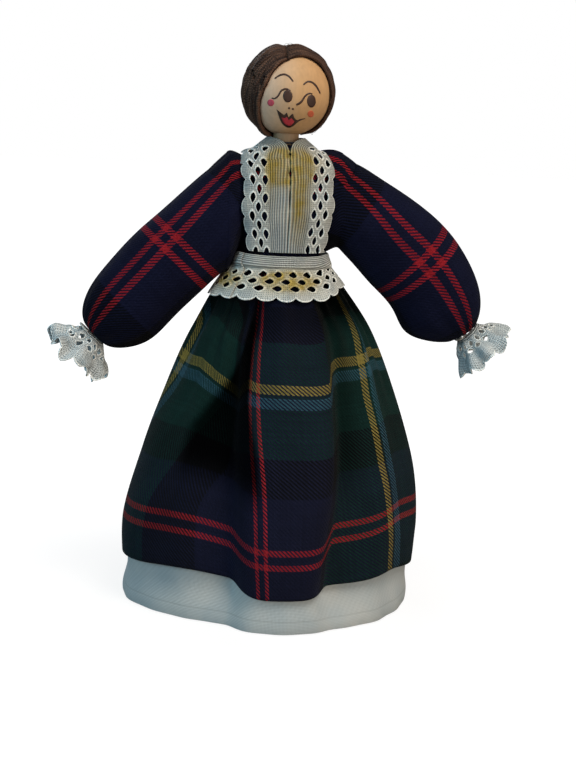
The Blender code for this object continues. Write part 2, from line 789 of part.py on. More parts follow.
def make_body_ties():
    """The gathering threads at the waist, under the waist lace, and on the neck edge, inside the collar."""
    waist, neck = [], []
    share = bodice_share(2 * SEAM_GAP + THREAD_DIAMETER / 2)
    for step in range(TIE_POINTS):
        angle = math.tau * step / TIE_POINTS
        waist.append(bodice_point(angle, share, -(SEAM_GAP + THREAD_DIAMETER / 2)))
        across = Vector((math.sin(angle), -math.cos(angle), 0))
        height = NECK_HEIGHT + SEAM_GAP + THREAD_DIAMETER / 2
        neck.append(across * (NECK_RADIUS - THREAD_DIAMETER / 2) + UP * height)
    add_wire("waist_tie", waist, THREAD_DIAMETER, THREAD, ring=True)
    add_wire("neck_tie", neck, THREAD_DIAMETER, THREAD, ring=True)


def main():
    head_axis = add_empty("head_turn", HEAD_CENTRE)
    swing_axis = add_empty("arms_swing", (0, 0, WIRE_HEIGHT))
    reach = PIVOT_REACH - WIRE_DIAMETER / 2 - CLOTH_GAP
    ends = [(-reach, 0, WIRE_HEIGHT), (reach, 0, WIRE_HEIGHT)]
    far = SLEEVE_PLANE + CUTTER_OVERRUN
    wire_bore = add_cutter(
        "shoulder_wire_bore",
        rod_shape((-far, 0, WIRE_HEIGHT), (far, 0, WIRE_HEIGHT), WIRE_DIAMETER / 2 + WIRE_CLEARANCE),
    )
    peg_bore = add_cutter(
        "peg_bore",
        rod_shape((0, 0, 0), (0, 0, PEG_TOP), PEG_DIAMETER / 2 + PEG_CLEARANCE),
    )

    make_base_plate()
    make_peg(wire_bore)
    make_head(head_axis)
    make_hair(head_axis)
    make_skirt()
    make_petticoat()
    make_skirt_wadding(peg_bore)
    make_bodice(wire_bore)
    make_torso_wadding(peg_bore, wire_bore)
    add_wire("shoulder_wire", ends, WIRE_DIAMETER, STEEL_WIRE, swing_axis)
    for side in SIDES:
        raise_axis = add_empty("arm_raise_" + side, pivot_of(side), swing_axis)
        make_arm(side, raise_axis)
        make_cuff(side, raise_axis)
    make_collar()
    make_waist_lace()
    make_body_ties()


main()
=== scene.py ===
"""The doll's cloth, lace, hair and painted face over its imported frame, with a camera, lights and a floor.

Sizes are in millimetres. The doll faces -Y and its left arm points to +X. Angles round the body start at the
front and grow towards the doll's left.
"""

import math
import random

import bpy
import numpy as np
from mathutils import Matrix, Vector


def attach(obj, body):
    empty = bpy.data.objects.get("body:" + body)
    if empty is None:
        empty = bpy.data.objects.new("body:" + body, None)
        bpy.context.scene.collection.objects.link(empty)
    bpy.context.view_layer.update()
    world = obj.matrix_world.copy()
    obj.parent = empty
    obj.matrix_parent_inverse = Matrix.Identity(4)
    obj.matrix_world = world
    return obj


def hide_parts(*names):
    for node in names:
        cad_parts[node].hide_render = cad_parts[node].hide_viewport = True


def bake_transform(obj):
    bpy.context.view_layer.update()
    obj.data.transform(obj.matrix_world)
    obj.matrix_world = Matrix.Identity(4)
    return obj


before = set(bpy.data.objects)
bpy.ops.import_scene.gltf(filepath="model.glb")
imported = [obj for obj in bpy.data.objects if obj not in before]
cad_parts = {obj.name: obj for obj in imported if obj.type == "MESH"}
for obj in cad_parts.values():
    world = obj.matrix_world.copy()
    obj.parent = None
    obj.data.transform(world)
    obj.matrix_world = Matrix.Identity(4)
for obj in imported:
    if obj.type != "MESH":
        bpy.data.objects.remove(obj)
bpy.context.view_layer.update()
MM = 0.001

# Camera. The picture's half height and the focal length are in pixels
CAMERA_REACH = 500
CAMERA_HEIGHT = 165
CAMERA_AZIMUTH = math.radians(-9)
CAMERA_PITCH = math.radians(9.83)
CAMERA_ROLL = math.radians(2.6)
CAMERA_ASIDE = math.radians(0.53)
PICTURE_HALF = 384
FOCAL_LENGTH = 1403
CAMERA_ANGLE = 2 * math.atan(PICTURE_HALF / FOCAL_LENGTH)

# Light
SKY_LIGHT = 0.18
FLOOR_GLOW = 0.84
FLOOR_HALF = 8000.0

# Waist and bodice. The stops are half width, half depth, height and squareness, from the waist to the neck
WAIST = 121.0
WAIST_HALF = (16.6, 12.8)
SEAM_GAP = 0.4
BODICE_STOPS = (
    (16.6, 12.8, 121.4, 2.7),
    (14.5, 12.5, 128.5, 2.6),
    (16.7, 13.5, 140.0, 2.7),
    (16.3, 12.9, 150.0, 2.7),
    (14.4, 10.4, 158.0, 2.7),
    (10.2, 8.2, 161.4, 2.0),
    (6.2, 6.2, 163.5, 2.0),
)

# Head
HEAD = np.array((0.0, 0.0, 181.7))
HEAD_RADIUS = 15.0

# Arms, by the doll's own sides. The droop is the arm's slope and the bow bends its middle line.
# Fuller, hump, sag and belly change a sleeve's radius all round, above the shoulder, below the wrist and
# below the shoulder. The cloth round a sleeve is measured on its mean radius
SIDES = {"left": 1, "right": -1}
SLEEVE_ROOT = np.array((17.8, 0.0, 146.4))
SLEEVE_LENGTH = 70.0
SLEEVE_WIDEST = 34
SHOULDER_RADIUS = 11.0
WIDEST_RADIUS = 15.8
WRIST_RADIUS = 3.6
SLEEVE_FLATNESS = 0.9
SLEEVE_MEAN = 15.0
SLEEVE_SEED = {"left": 11, "right": 12}
SHOULDER_END = 20.0
DROOP = {"left": math.radians(43.5), "right": math.radians(47.5)}
BOW = {"left": 5.0, "right": -0.8}
FULLER = {"left": 0.9, "right": -0.6}
HUMP = {"left": 3.0, "right": 1.0}
SAG = {"left": 3.4, "right": 1.6}
BELLY = {"left": 0.6, "right": 5.5}
# Where the last three lie along the sleeve: middle and reach
HUMP_PLACE = (-1, 11)
SAG_PLACE = (59, 9)
BELLY_PLACE = (13, 9)
# The armhole's middle, half height and half width in degrees, and how the sleeve's head first leans out
ARMHOLE_MIDDLE = 143.6
ARMHOLE_HALF = {"left": 17.4, "right": 15.2}
ARMHOLE_TURN = 33
SLEEVE_HEAD_LEAN = {"left": 0.8, "right": 0.2}
# How the sleeves' grain turns: degrees along the arm, and millimetres for each one along the sleeve's head
TWIST = {"left": 34, "right": 6}
SLEEVE_HEAD_SKEW = {"left": 0.4, "right": 0.6}
# Cuffs: tilt in degrees, and lift of their middle
CUFF_TIP = {"left": 13, "right": -4}
CUFF_LIFT = {"left": 1.6, "right": 0.0}
CUFF_SEED = {"left": 21, "right": 22}

# Skirt
SKIRT_HALF = (54.0, 48.0)
SKIRT_FULL = 28.0
HEM = 12.0
HEM_TUCK = 2.5
FOLD_DEPTH = 7.0
GATHER_DEPTH = 0.85
PUFF_DEPTH = 1.5
SKIRT_SWAY = 2.0
# How far the hem rises: at the left and right as seen from the front, over the drawn-up places at the left
# and right of the front, and in the folds
HEM_RISES = (4.0, 3.0)
HEM_DRAWN = (4.0, 2.5)
HEM_FOLDED = 2.6
# Folds at the hem: angle from the front, share of the depth, and reach to each side, in degrees
FOLDS = (
    (-64, 0.45, 14, 12),
    (-29, 1.45, 24, 10),
    (22, 1.0, 8, 18),
    (58, 0.35, 12, 14),
    (106, 0.6, 12, 12),
    (150, 0.5, 12, 12),
    (193, 0.6, 12, 12),
    (236, 0.55, 12, 12),
)
# Where the front panel starts, how much cloth a pleat hides, and the radii that two weaves are measured on
PANEL_EDGE = math.radians(-15)
HIDDEN_PLEAT = 17.0
PETTICOAT_MEAN = 51
BODICE_MEAN = 15.5

# How far the petticoat stands out past the skirt's line at the floor, every 20 degrees from the back
FLARE_BEHIND = (3.0, 3.0, 3.2, 2.8)
FLARE_FRONT = (1.8, 0.6, -1.4, -2.5, 0.2, 1.7, 2.2, 1.3, 0.3, 0.2)
FLARE_BEYOND = (2.4, 3.2, 3.0, 3.0, 3.0)
PETTICOAT_FLARE = np.array(FLARE_BEHIND + FLARE_FRONT + FLARE_BEYOND)[:, None]

# Lace. Rows of holes: place across the strip, half width, half length and shift along it
LACE_WIDTH = 16.0
LACE_PITCH = 6.2
LACE_STEP = 0.3
SCALLOP_DEPTH = 2.1
LACE_HOLES = ((6.7, 1.05, 1.8, 0.5), (9.1, 1.0, 1.8, 0.0), (11.5, 1.05, 1.8, 0.5))

# How thick the cloth, the lace and the paint are
SKIRT_THICKNESS = 0.9
PETTICOAT_THICKNESS = 0.7
BODICE_THICKNESS = 0.8
SLEEVE_THICKNESS = 0.8
SLEEVE_HEAD_THICKNESS = 0.5
LACE_THICKNESS = 0.45
PAINT_THICKNESS = 0.04


# Curves and surfaces


def ease(share):
    share = np.clip(share, 0, 1)
    return share * share * (3 - 2 * share)


def ramp(value, start, span):
    """Rises softly from 0 to 1 over a span, which is negative where the rise goes the other way."""
    return ease((value - start) / span)


def bell(value, middle, reach):
    return np.exp(-(((value - middle) / reach) ** 2))


def through(stops, share):
    """Points of a smooth curve through the stops, at shares of its way."""
    stops = np.asarray(stops, float)
    last = len(stops) - 1
    place = np.clip(np.asarray(share, float), 0, 1) * last
    index = np.minimum(place.astype(int), last - 1)
    t = (place - index)[..., None]
    p0, p1 = stops[np.maximum(index - 1, 0)], stops[index]
    p2, p3 = stops[index + 1], stops[np.minimum(index + 2, last)]
    bend = 2 * p0 - 5 * p1 + 4 * p2 - p3
    turn = 3 * (p1 - p2) + p3 - p0
    return 0.5 * (2 * p1 + (p2 - p0) * t + bend * t**2 + turn * t**3)


def unit(vectors):
    return vectors / np.maximum(np.linalg.norm(vectors, axis=-1, keepdims=True), 1e-9)


def around(columns):
    """Angles of a closed grid's columns, from the back round to the back again."""
    return np.linspace(-np.pi, np.pi, columns + 1)


def circle(count):
    return np.linspace(0, 2 * np.pi, count, endpoint=False)


def rows_of(count):
    """Shares from 0 to 1 down the rows of a grid."""
    return np.linspace(0, 1, count)[:, None]


def wrapped(angle):
    return (angle + np.pi) % (2 * np.pi) - np.pi


def ripple(angle, waves, seed):
    """A sum of waves round a circle with fixed random phases, from about -1 to 1."""
    rng = random.Random(seed)
    total = 0
    for wave in waves:
        total = total + np.cos(wave * angle + rng.uniform(0, math.tau))
    return total / len(waves)


def lengths_along(points):
    """How far each point lies along its line of points, from the first row."""
    steps = np.linalg.norm(np.diff(points, axis=0), axis=-1)
    return np.concatenate([np.zeros_like(steps[:1]), np.cumsum(steps, axis=0)])


def bodice_point(angle, share, out=0.0):
    """Share 0 is the waist seam and 1 the neck edge."""
    angle, share = np.broadcast_arrays(np.asarray(angle, float), np.asarray(share, float))

    def surface(angle, share):
        width, depth, height, square = np.moveaxis(through(BODICE_STOPS, share), -1, 0)
        sine, cosine = np.sin(angle), np.cos(angle)
        across = np.sign(sine) * np.abs(sine) ** (2 / square)
        ahead = np.sign(cosine) * np.abs(cosine) ** (2 / square)
        return np.stack([width * across, -depth * ahead, height], -1)

    step = 0.001
    up = surface(angle, np.minimum(1, share + step)) - surface(angle, np.maximum(0, share - step))
    side = surface(angle + step, share) - surface(angle - step, share)
    return surface(angle, share) + np.asarray(out)[..., None] * unit(np.cross(side, up))


def bodice_share(height):
    shares = np.linspace(0, 1, 400)
    return np.interp(height, through(BODICE_STOPS, shares)[:, 2], shares)


def valley(angle):
    """How deep the folds run at an angle of the hem."""
    total = 0
    for degrees, share, before, after in FOLDS:
        away = wrapped(angle - math.radians(degrees))
        reach = np.where(away < 0, math.radians(before), math.radians(after))
        total = total + share * bell(away, 0, reach)
    return total


def skirt_share(height):
    """0 at the waist and 1 where the skirt is full."""
    return np.clip((WAIST - height) / (WAIST - SKIRT_FULL), 0, 1)


def skirt_oval(angle, height):
    flare = (1 - (1 - skirt_share(height)) ** 1.5) ** 0.85
    tuck = HEM_TUCK * np.maximum(0, 1 - height / SKIRT_FULL) ** 2
    width, depth = (waist + (full - waist) * flare - tuck for waist, full in zip(WAIST_HALF, SKIRT_HALF))
    return width * depth / np.hypot(depth * np.sin(angle), width * np.cos(angle))


def skirt_point(hem_angle, height, out=0.0):
    """A point of the skirt by its thread's angle at the hem. The front panel keeps its width to the waist."""
    hem_angle, height = np.broadcast_arrays(np.asarray(hem_angle, float), np.asarray(height, float))
    near = wrapped(hem_angle)
    spread = 0.85 * near * bell(near, 0, math.radians(45))
    angle = hem_angle + spread * ramp(height, HEM, 95)

    def radius(height):
        share = skirt_share(height)
        fold = np.maximum(ease(share / 0.55), 0.45 * ease(share / 0.16))
        down = WAIST - height
        gather = GATHER_DEPTH * np.exp(-down / 13) * ripple(hem_angle, (29, 37, 43), 3)
        gather = gather + PUFF_DEPTH * bell(down, 22, 20) * ripple(hem_angle, (13, 17, 22), 4)
        return skirt_oval(angle, height) - FOLD_DEPTH * fold * valley(hem_angle) + gather

    step = 0.05
    slope = (radius(height + step) - radius(height - step)) / (2 * step)
    length = np.hypot(1, slope)
    reach = radius(height) + out / length
    sway = SKIRT_SWAY * ramp(height, 20, 35) * ramp(height, WAIST, -22)
    return np.stack([reach * np.sin(angle) + sway, -reach * np.cos(angle), height - out * slope / length], -1)


def sleeve_axis(side, along):
    """The middle line of a sleeve and the way up from it, for the left side; the caller mirrors it."""
    droop, bow = DROOP[side], BOW[side]
    run = np.array((math.cos(droop), 0, -math.sin(droop)))
    rise = np.array((math.sin(droop), 0, math.cos(droop)))
    share = np.clip(np.asarray(along, float) / SLEEVE_LENGTH, 0, 1)
    lift = bow * np.sin(np.pi * share)
    tilt = np.where(share > 0, bow * np.pi / SLEEVE_LENGTH * np.cos(np.pi * share), 0)
    point = SLEEVE_ROOT + run * np.asarray(along)[..., None] + rise * lift[..., None]
    ahead = unit(run + rise * tilt[..., None])
    above = unit(rise - run * tilt[..., None])
    return point, ahead, above


def sleeve_radius(along):
    rise = np.sin(np.pi / 2 * np.clip(along, 0, SLEEVE_WIDEST) / SLEEVE_WIDEST)
    swell = SHOULDER_RADIUS + (WIDEST_RADIUS - SHOULDER_RADIUS) * rise
    share = np.clip((along - SLEEVE_WIDEST) / (SLEEVE_LENGTH - SLEEVE_WIDEST), 0, 1)
    taper = WRIST_RADIUS + (WIDEST_RADIUS - WRIST_RADIUS) * np.sqrt(1 - share**3.0)
    return np.where(along < SLEEVE_WIDEST, swell, taper)


# Meshes


def add_mesh(name, points, faces, material, loop_uv=None):
    mesh = bpy.data.meshes.new(name)
    mesh.from_pydata((np.asarray(points) * MM).tolist(), [], faces)
    if loop_uv is not None:
        layer = mesh.uv_layers.new(name="cloth")
        layer.data.foreach_set("uv", np.asarray(loop_uv, np.float32).ravel())
    mesh.materials.append(material)
    mesh.shade_smooth()
    made = bpy.data.objects.new(name, mesh)
    bpy.context.scene.collection.objects.link(made)
    return made


def faces_outwards(points, faces, inside):
    corners = points[faces]
    middle = corners.mean(1)
    normal = np.cross(corners[:, 2] - corners[:, 0], corners[:, 3] - corners[:, 1])
    return ((middle - inside(middle)) * normal).sum() > 0


def quads(rows, columns):
    """The faces of a tube made of rows of points that close on themselves."""
    row, column = np.meshgrid(np.arange(rows - 1), np.arange(columns), indexing="ij")
    beside = (column + 1) % columns
    low, high = row * columns, (row + 1) * columns
    return np.stack([low + column, low + beside, high + beside, high + column], -1).reshape(-1, 4)


def cloth_grid(u, v):
    return np.stack(np.broadcast_arrays(u, v), -1)


def corner_uv(uv):
    """The UVs of a tube's faces, from a grid that has one column more than the tube."""
    return np.stack([uv[:-1, :-1], uv[:-1, 1:], uv[1:, 1:], uv[1:, :-1]], -2).reshape(-1, 4, 2)


def add_grid(name, points, uv, material, inside):
    """A tube of quads from rows of points, with its UVs in millimetres of cloth."""
    faces, loop_uv = quads(*points.shape[:2]), corner_uv(uv)
    flat = points.reshape(-1, 3)
    if not faces_outwards(flat, faces, inside):
        faces, loop_uv = faces[:, ::-1], loop_uv[:, ::-1]
    return add_mesh(name, flat, faces.tolist(), material, loop_uv)


def on_axis(middle):
    return middle * np.array((0, 0, 1))


def thicken(piece, thickness, offset=-1):
    shell = piece.modifiers.new("thickness", "SOLIDIFY")
    shell.thickness = thickness * MM
    shell.offset = offset


def set_attribute(piece, name, values):
    attribute = piece.data.attributes.new(name, "FLOAT", "POINT")
    attribute.data.foreach_set("value", np.asarray(values, np.float32).ravel())


def add_tubes(name, paths, radii, material, sides=5):
    """Many tapered strands as one mesh; each path is an array of points and each radius an array along it."""
    points, faces, loops = [], [], []
    base = 0
    turn = circle(sides)[:, None]
    for number, (path, radius) in enumerate(zip(paths, radii)):
        ahead = unit(np.gradient(path, axis=0))
        helper = np.where(np.abs(ahead[:, 2:]) > 0.9, (1.0, 0, 0), (0, 0, 1.0))
        across = unit(np.cross(ahead, helper))
        above = np.cross(across, ahead)
        ring = across[:, None] * np.cos(turn) + above[:, None] * np.sin(turn)
        points.append((path[:, None] + ring * radius[:, None, None]).reshape(-1, 3))
        length = lengths_along(path)
        faces.extend((base + quads(len(path), sides)).tolist())
        uv = cloth_grid(number + np.arange(sides + 1) / sides, length[:, None])
        loops.append(corner_uv(uv).reshape(-1, 2))
        last = base + (len(path) - 1) * sides
        faces.append(list(range(base, base + sides))[::-1])
        faces.append(list(range(last, last + sides)))
        for end in (0.0, length[-1]):
            loops.append(np.tile((number, end), (sides, 1)))
        base += len(path) * sides
    return add_mesh(name, np.concatenate(points), faces, material, np.concatenate(loops))


# Materials


class Value:
    """A number or colour that a material works out from point to point. Sums and products make new nodes."""

    def __init__(self, tree, socket):
        self.tree = tree
        self.socket = socket

    def __add__(self, other):
        return maths("ADD", self, other)

    def __sub__(self, other):
        return maths("SUBTRACT", self, other)

    def __mul__(self, other):
        return maths("MULTIPLY", self, other)

    def __truediv__(self, other):
        return maths("DIVIDE", self, other)


def feed(socket, value):
    """Links a value to a socket, or sets the socket to a plain one. A tuple is a colour without its alpha."""
    if isinstance(value, Value):
        value.tree.links.new(value.socket, socket)
    elif isinstance(value, tuple):
        socket.default_value = (*value, 1)
    else:
        socket.default_value = value


def new_material(name, colour, roughness):
    made = bpy.data.materials.new(name)
    made.use_nodes = True
    shader = made.node_tree.nodes["Principled BSDF"]
    feed(shader.inputs["Base Color"], colour)
    feed(shader.inputs["Roughness"], roughness)
    return made, made.node_tree, shader


def wired(tree, kind, output, inputs, **settings):
    """One output of a new node, which gets its settings and its inputs."""
    made = tree.nodes.new(kind)
    for key, value in settings.items():
        setattr(made, key, value)
    for name, value in inputs.items():
        feed(made.inputs[name], value)
    return Value(tree, made.outputs[output])


def maths(operation, first, second=0.0):
    return wired(first.tree, "ShaderNodeMath", 0, {0: first, 1: second}, operation=operation)


def wave(value, length):
    return maths("SINE", value * (math.tau / length))


def mix(tree, factor, first, second, blend="MIX", kind="RGBA"):
    inputs = {"Factor": factor, "A": first, "B": second}
    return wired(tree, "ShaderNodeMix", "Result", inputs, data_type=kind, blend_type=blend)


def noise(vector, scale, detail):
    inputs = {"Vector": vector, "Scale": scale, "Detail": detail}
    return wired(vector.tree, "ShaderNodeTexNoise", "Fac", inputs)


def chance(value):
    """A random number from 0 to 1 for each whole number."""
    return wired(value.tree, "ShaderNodeTexWhiteNoise", "Value", {"W": value}, noise_dimensions="1D")


def remap(value, low, high, to_low=0.0, to_high=1.0):
    inputs = {"Value": value, "From Min": low, "From Max": high, "To Min": to_low, "To Max": to_high}
    return wired(value.tree, "ShaderNodeMapRange", "Result", inputs)


def bump(shader, height, distance, strength):
    inputs = {"Distance": distance * MM, "Strength": strength, "Height": height}
    feed(shader.inputs["Normal"], wired(height.tree, "ShaderNodeBump", "Normal", inputs))


def colour_it(shader, colour, level):
    """The base colour, made darker or lighter by a level from point to point."""
    inputs = {"Red": level, "Green": level, "Blue": level}
    grey = wired(level.tree, "ShaderNodeCombineColor", "Color", inputs)
    feed(shader.inputs["Base Color"], mix(level.tree, 1.0, colour, grey, "MULTIPLY"))


def attribute(tree, name):
    return wired(tree, "ShaderNodeAttribute", "Fac", {}, attribute_name=name)


def part_of(vector, axis):
    return wired(vector.tree, "ShaderNodeSeparateXYZ", axis, {"Vector": vector})


def cloth_uv(tree):
    uv = wired(tree, "ShaderNodeUVMap", "UV", {}, uv_map="cloth")
    return part_of(uv, "X"), part_of(uv, "Y"), uv


def object_space(tree):
    return wired(tree, "ShaderNodeTexCoord", "Object", {})


def stretched(vector, scale):
    return wired(vector.tree, "ShaderNodeMapping", "Vector", {"Vector": vector, "Scale": scale})


NAVY = (0.0066, 0.0080, 0.0235)
BLACK = (0.0030, 0.0034, 0.0055)
GREEN = (0.0040, 0.0215, 0.0185)
RED = (0.28, 0.014, 0.022)
YELLOW = (0.212, 0.166, 0.041)
AZURE = (0.026, 0.080, 0.112)
THREAD_PITCH = 0.36

# The setts: the repeat, then where each colour ends, from half a repeat before the red pair's middle
LENGTHWISE = (
    168.0,
    (
        *((-50, GREEN), (-27, BLACK)),
        *((-2.5, NAVY), (-0.75, RED), (0.75, NAVY), (2.5, RED), (27, NAVY)),
        *((44, BLACK), (72.6, GREEN), (75.8, YELLOW), (77.2, GREEN), (81.4, AZURE), (84, GREEN)),
    ),
)
BEFORE_PAIR = ((-51.0, AZURE), (-34, GREEN), (-21, BLACK))
AFTER_PAIR = ((21, NAVY), (34, BLACK), (48.8, GREEN), (52.0, YELLOW), (53.4, GREEN), (54, AZURE))
FINE_PAIR = ((-3.7, NAVY), (-1.3, RED), (1.3, NAVY), (3.7, RED))
CROSSWISE = (108.0, (*BEFORE_PAIR, *FINE_PAIR, *AFTER_PAIR))
# The sleeves' cloth, with a broader red pair both ways
BROAD_PAIR = ((-4.1, NAVY), (-1.4, RED), (1.4, NAVY), (4.1, RED))
SLEEVE_ROUND = (108.0, (*BEFORE_PAIR, *BROAD_PAIR, *AFTER_PAIR))
SLEEVE_ALONG = (156.0, ((-62, GREEN), (-27, BLACK), *BROAD_PAIR, (27, NAVY), (62, BLACK), (78, GREEN)))


def sett_colour(place, zero, sett):
    period, bands = sett
    strip = place.tree.nodes.new("ShaderNodeValToRGB")
    strip.color_ramp.interpolation = "CONSTANT"
    stops = strip.color_ramp.elements
    start = -period / 2
    for index, (end, colour) in enumerate(bands):
        position = (start + period / 2) / period
        stop = stops[index] if index < 2 else stops.new(position)
        stop.position = position
        stop.color = (*colour, 1)
        start = end
    feed(strip.inputs["Fac"], maths("FRACT", (place - zero) / period + 0.5))
    return Value(place.tree, strip.outputs["Color"])


def tartan(name, u_zero, v_zero, setts=(LENGTHWISE, CROSSWISE), haze=0.03):
    """A two-over-two twill whose warp and weft both carry the sett, darkened by painted shade where an
    attribute says.
    """
    made, tree, shader = new_material(name, NAVY, 0.85)
    u, v, uv = cloth_uv(tree)
    warp_thread = maths("FLOOR", u / THREAD_PITCH)
    weft_thread = maths("FLOOR", v / THREAD_PITCH)
    warp_over = maths("LESS_THAN", maths("FRACT", (warp_thread + weft_thread + 0.5) / 4), 0.5)
    warp = sett_colour(u, u_zero, setts[0])
    weft = sett_colour(v * -1, -v_zero, setts[1])
    uneven = mix(tree, warp_over, chance(weft_thread), chance(warp_thread), kind="FLOAT")
    shade = remap(uneven, 0, 1, 0.82, 1.18)
    # Real fading: broad, random changes in the cloth's tone
    fading_and_painted_light = remap(noise(uv, 0.06, 4), 0.3, 0.7, 0.85, 1.2)
    fuzz = remap(noise(uv, 3.0, 3), 0.35, 0.75, 0.85, 1.25)
    # Painted shade: the skirt's folds and gathers darken the colour and the gloss
    lit = remap(attribute(tree, "painted_fold_shade"), 0, 1, 1, 0)
    colour_it(shader, mix(tree, warp_over, weft, warp), shade * fading_and_painted_light * fuzz * lit)
    feed(shader.inputs["Specular IOR Level"], lit * haze)
    over, under = (maths("ABSOLUTE", wave(way, 2 * THREAD_PITCH)) for way in (u, v))
    profile = mix(tree, warp_over, under, over, kind="FLOAT")
    bump(shader, profile + wave(u + v, 4 * THREAD_PITCH) * 0.6, 0.12, 0.8)
    feed(shader.inputs["Sheen Weight"], 0.02)
    feed(shader.inputs["Sheen Roughness"], 0.3)
    return made


def lace_material(name, dull, bright):
    """Cotton lace: a ribbed heading, a fine net, thick threads round its holes and edge, ochre stains, and
    painted shade and highlight.
    """
    made, tree, shader = new_material(name, bright, 0.85)
    u, v, uv = cloth_uv(tree)
    heading = remap(v, 5.0, 5.5, 1, 0)
    thread = remap(attribute(tree, "rim"), 0.15, 0.6, 1, 0) * remap(heading, 0, 1, 1, 0)
    net = maths("MAXIMUM", wave(u, 0.7), wave(v, 0.7))
    height = wave(v, 0.72) * heading + net * remap(heading, 0, 1, 0.55, 0)
    height = height + wave(u, 0.5) * 0.25 + thread * 1.6 + noise(uv, 2.5, 3) * 0.8
    bump(shader, height, 0.2, 1.0)
    patchy = remap(noise(uv, 0.35, 4), 0.32, 0.62)
    amount = attribute(tree, "stain") * (patchy * 0.4 + 0.6)
    clean = mix(tree, remap(noise(uv, 0.12, 3), 0.35, 0.65), dull, bright)
    # Painted highlight: the thick threads are drawn lighter
    clean = mix(tree, thread * 0.6, clean, (0.86, 0.88, 0.85))
    colour = mix(tree, maths("MINIMUM", amount, 1.0), clean, (0.40, 0.29, 0.075))
    # Painted shade and highlight: darker where the bump lies low, lighter where it stands high
    colour_it(shader, colour, remap(height, -0.9, 1.9, 0.3, 1.32))
    feed(shader.inputs["Specular IOR Level"], 0.1)
    return made


def cotton_material():
    """White cotton in a plain weave, with a smoother turned-up hem."""
    made, tree, shader = new_material("white_cotton", (0.62, 0.64, 0.66), 0.85)
    u, v, uv = cloth_uv(tree)
    fold = wave(u - v, 2.4) * remap(v, 4.0, 4.6) * 0.5
    stitch = remap(maths("ABSOLUTE", v - 4.2), 0.0, 0.45, -2.5, 0)
    height = wave(u, 0.5) + wave(v, 0.5) + fold + stitch
    bump(shader, height, 0.1, 0.35)
    colour = mix(tree, remap(noise(uv, 0.05, 4), 0.3, 0.7), (0.39, 0.45, 0.48), (0.53, 0.555, 0.545))
    # Painted shade: darker where the bump lies low, in the weave and along the hem's stitch
    colour_it(shader, colour, remap(height, -2.5, 2, 0.8, 1.05))
    return made


def hair_material():
    made, tree, shader = new_material("brown_wool", (0.035, 0.018, 0.012), 0.62)
    u, v, _ = cloth_uv(tree)
    ply = maths("SINE", (u * 1.6 + v) * 7.0)
    colour = mix(tree, chance(maths("FLOOR", u)), (0.022, 0.011, 0.0085), (0.115, 0.058, 0.036))
    # Painted shade and highlight along the ply's twist: darker in its grooves, lighter on its crests
    colour_it(shader, colour, remap(ply, -1, 1, 0.7, 1.25))
    bump(shader, ply, 0.08, 0.7)
    feed(shader.inputs["Specular IOR Level"], 0.2)
    return made


def paint_material(name, colour, roughness, vary=0.12, grain=True, fading_and_painted_light=None):
    """Paint on turned wood, uneven and faintly grained. A second colour, where given, is mixed in towards the
    doll's right as painted cool light from that side.
    """
    made, tree, shader = new_material(name, colour, roughness)
    space = object_space(tree)
    lines = noise(stretched(space, [1.0, 1.0, 0.25]), 900, 4)
    half = vary / 2
    level = remap(lines, 0.3, 0.7, 1 - half, 1 + half) + remap(noise(space, 120, 3), 0.3, 0.7, -half, half)
    # Painted light: the colour turns paler and cooler towards the doll's right
    if fading_and_painted_light:
        colour = mix(tree, remap(part_of(space, "X"), -0.011, 0.002, 1, 0), colour, fading_and_painted_light)
    colour_it(shader, colour, level)
    if grain:
        bump(shader, lines, 0.03, 0.5)
    return made


def wood_material():
    made, tree, shader = new_material("bare_wood", (0.52, 0.36, 0.21), 0.6)
    rings = noise(stretched(object_space(tree), [0.12, 1.0, 1.0]), 420, 6)
    colour = mix(tree, remap(rings, 0.35, 0.65), (0.40, 0.25, 0.13), (0.62, 0.45, 0.28))
    feed(shader.inputs["Base Color"], colour)
    bump(shader, rings, 0.08, 0.6)
    return made


def steel_material():
    made, tree, shader = new_material("drawn_wire", (0.55, 0.55, 0.55), 0.35)
    feed(shader.inputs["Metallic"], 1.0)
    lines = noise(object_space(tree), 3000, 3)
    feed(shader.inputs["Roughness"], remap(lines, 0.3, 0.7, 0.28, 0.48))
    bump(shader, lines, 0.02, 0.5)
    return made


def thread_material(name, dull, bright):
    made, tree, shader = new_material(name, bright, 0.8)
    inputs = {"Scale": 900, "Vector": object_space(tree)}
    twist = wired(tree, "ShaderNodeTexWave", "Fac", inputs, wave_type="BANDS", bands_direction="DIAGONAL")
    # Painted shade and highlight along the twist: dull in its grooves, bright on its crests
    feed(shader.inputs["Base Color"], mix(tree, twist, dull, bright))
    bump(shader, twist, 0.1, 0.8)
    return made


def filling_material():
    made, tree, shader = new_material("fibre_filling", (0.78, 0.76, 0.71), 0.95)
    fibres = noise(object_space(tree), 700, 6)
    colour = mix(tree, remap(fibres, 0.3, 0.7), (0.66, 0.64, 0.59), (0.85, 0.84, 0.80))
    feed(shader.inputs["Base Color"], colour)
    bump(shader, fibres, 0.5, 0.9)
    return made


# Copies of one lace in different brightnesses: the collar's darker copy stands in for shade on the chest
LACE = lace_material("lace_thread", (0.40, 0.44, 0.45), (0.56, 0.57, 0.53))
WAIST_LACE = lace_material("waist_lace_thread", (0.50, 0.54, 0.54), (0.70, 0.71, 0.66))
CUFF_LACE = lace_material("cuff_lace_thread", (0.50, 0.57, 0.60), (0.68, 0.73, 0.74))
COTTON = cotton_material()
HAIR = hair_material()
# The skin is paler and cooler towards the doll's right: painted cool light from that side
SKIN = paint_material("skin_paint", (0.57, 0.33, 0.15), 0.62, fading_and_painted_light=(0.65, 0.47, 0.345))
